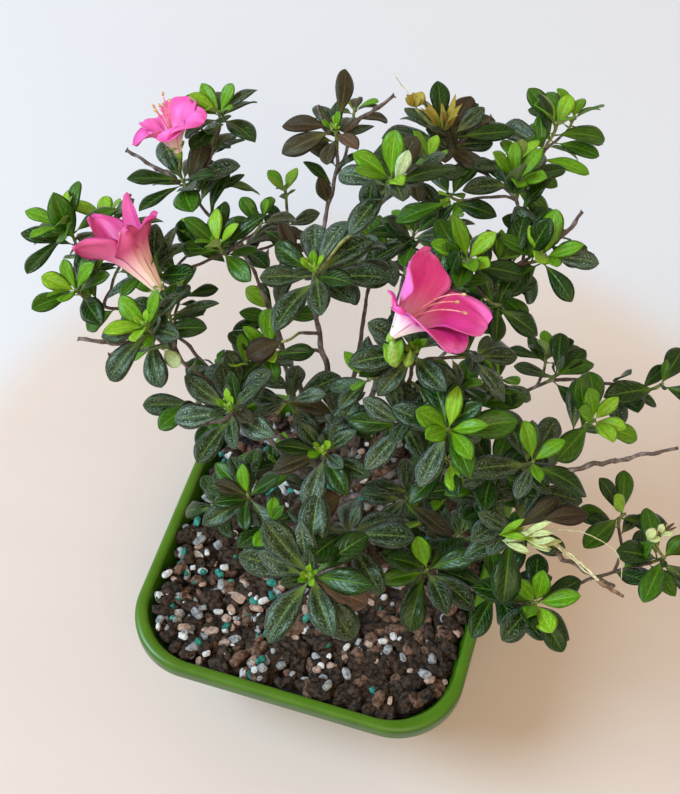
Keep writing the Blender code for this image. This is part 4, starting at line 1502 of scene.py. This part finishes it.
def floor_material():
    """A pale round table top that fades into a paler floor."""
    shader = Shader("pale_floor", (0.8, 0.75, 0.7), 0.6)
    places = {0: shader.place(), 1: TABLE_MIDDLE}
    away = shader.add("VectorMath", places, output="Value", operation="DISTANCE")
    grain = shader.noise(shader.stretched((4, 30, 1)), 1.0, 2.0)
    wood = shader.mix(grain, (0.572, 0.486, 0.436), (0.619, 0.531, 0.484))
    blend = shader.step(away, TABLE_RADIUS - TABLE_BLUR, TABLE_RADIUS + TABLE_BLUR)
    shader.colour(shader.mix(blend, wood, (0.592, 0.600, 0.638)))
    return shader.material


def make_stage():
    mesh = bpy.data.meshes.new("floor")
    corners = [(x * FLOOR_REACH, y * FLOOR_REACH, 0) for x, y in ((-1, -1), (1, -1), (1, 1), (-1, 1))]
    mesh.from_pydata(corners, [], [(0, 1, 2, 3)])
    mesh.materials.append(floor_material())
    floor = add_object("floor", mesh)
    floor.location = (0, 0, -FLOOR_DROP)


LIT_PLACE = Vector((0, 0, 0.15))


def add_area(name, place, size, power, colour):
    """A round lamp that faces the plant."""
    light = bpy.data.lights.new(name, "AREA")
    light.shape = "DISK"
    light.size = size
    light.energy = power
    light.color = colour
    lamp = add_object(name, light)
    lamp.location = place
    lamp.rotation_euler = (LIT_PLACE - Vector(place)).to_track_quat("-Z", "Y").to_euler()


def light_scene():
    """A cool window from the left, a warm lamp far off in front, and a warm room all round."""
    world = bpy.data.worlds.new("room")
    bpy.context.scene.world = world
    world.use_nodes = True
    room = world.node_tree.nodes["Background"]
    room.inputs["Color"].default_value = (1.0, 0.80, 0.58, 1)
    room.inputs["Strength"].default_value = 0.76
    add_area("window", (-2.1, -0.8, 2.2), 1.7, 126, (0.52, 0.77, 1.0))
    add_area("room", (0.9, -2.1, 2.4), 2.4, 44, (1.0, 0.84, 0.66))
    bpy.context.scene.view_settings.view_transform = "Standard"


def make_camera():
    data = bpy.data.cameras.new("camera")
    data.lens = CAMERA_LENS
    camera = add_object("camera", data)
    camera.location = CAMERA_PLACE
    camera.rotation_euler = (-camera_axes()[2]).to_track_quat("-Z", "Y").to_euler()
    bpy.context.scene.camera = camera


def grow_plant():
    """Fills the lists of leaf, stem and petal parts."""
    grow_trunk()
    boughs = [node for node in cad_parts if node.startswith("bough_")]
    places = [place for node in boughs for place in grow_bough(node)]
    tips = grow_sprays(places)
    grow_extras(places, tips)
    put_bare_twigs(tips)
    put_strays(places, tips)
    put_spent_flowers(tips)
    for name, flower in FLOWERS.items():
        put_flower(name, flower, tips)


def make_leaves():
    for name, look in LEAF_LOOKS.items():
        materials = [leaf_top(name, look), leaf_under(name, look)]
        make_piece(name + "_leaves", LEAF_PARTS[name], materials, mapped=True)
    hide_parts(*(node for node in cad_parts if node.startswith("leaves_")))


def make_bark():
    bark = bark_material("bark", (0.036, 0.026, 0.021), (0.130, 0.098, 0.084), (0.260, 0.225, 0.215))
    tones = ((0.044, 0.028, 0.021), (0.135, 0.096, 0.078), (0.280, 0.235, 0.225))
    twig = bark_material("twig_bark", *tones, 1.6)
    limbs = make_piece("bark_on_limbs", STEM_PARTS["bark"], [bark])
    make_piece("twigs", STEM_PARTS["twig"], [twig])
    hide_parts("trunk", *(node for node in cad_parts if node.startswith("bough_")))


def make_stems(*kinds):
    for kind in kinds:
        look = STEM_LOOKS[kind]
        material = plain_material(look.material, look.dark, look.light, look.roughness, look.scale)
        make_piece(look.piece, STEM_PARTS[kind], [material])


def make_petals():
    for name, (inside, outside) in PETAL_LOOKS.items():
        materials = [petal_material(name + "_petal_inside", *inside)]
        materials.append(petal_material(name + "_petal_outside", *outside))
        make_piece(name + "_petals", PETAL_PARTS[name], materials, mapped=True)


make_camera()
light_scene()
make_stage()
make_pot()
put_grains()
colour_soil()
grow_plant()
make_leaves()
make_bark()
make_stems("shoot", "dry_style", "pale_style", "bud")
make_petals()
make_stems("filament", "anther")
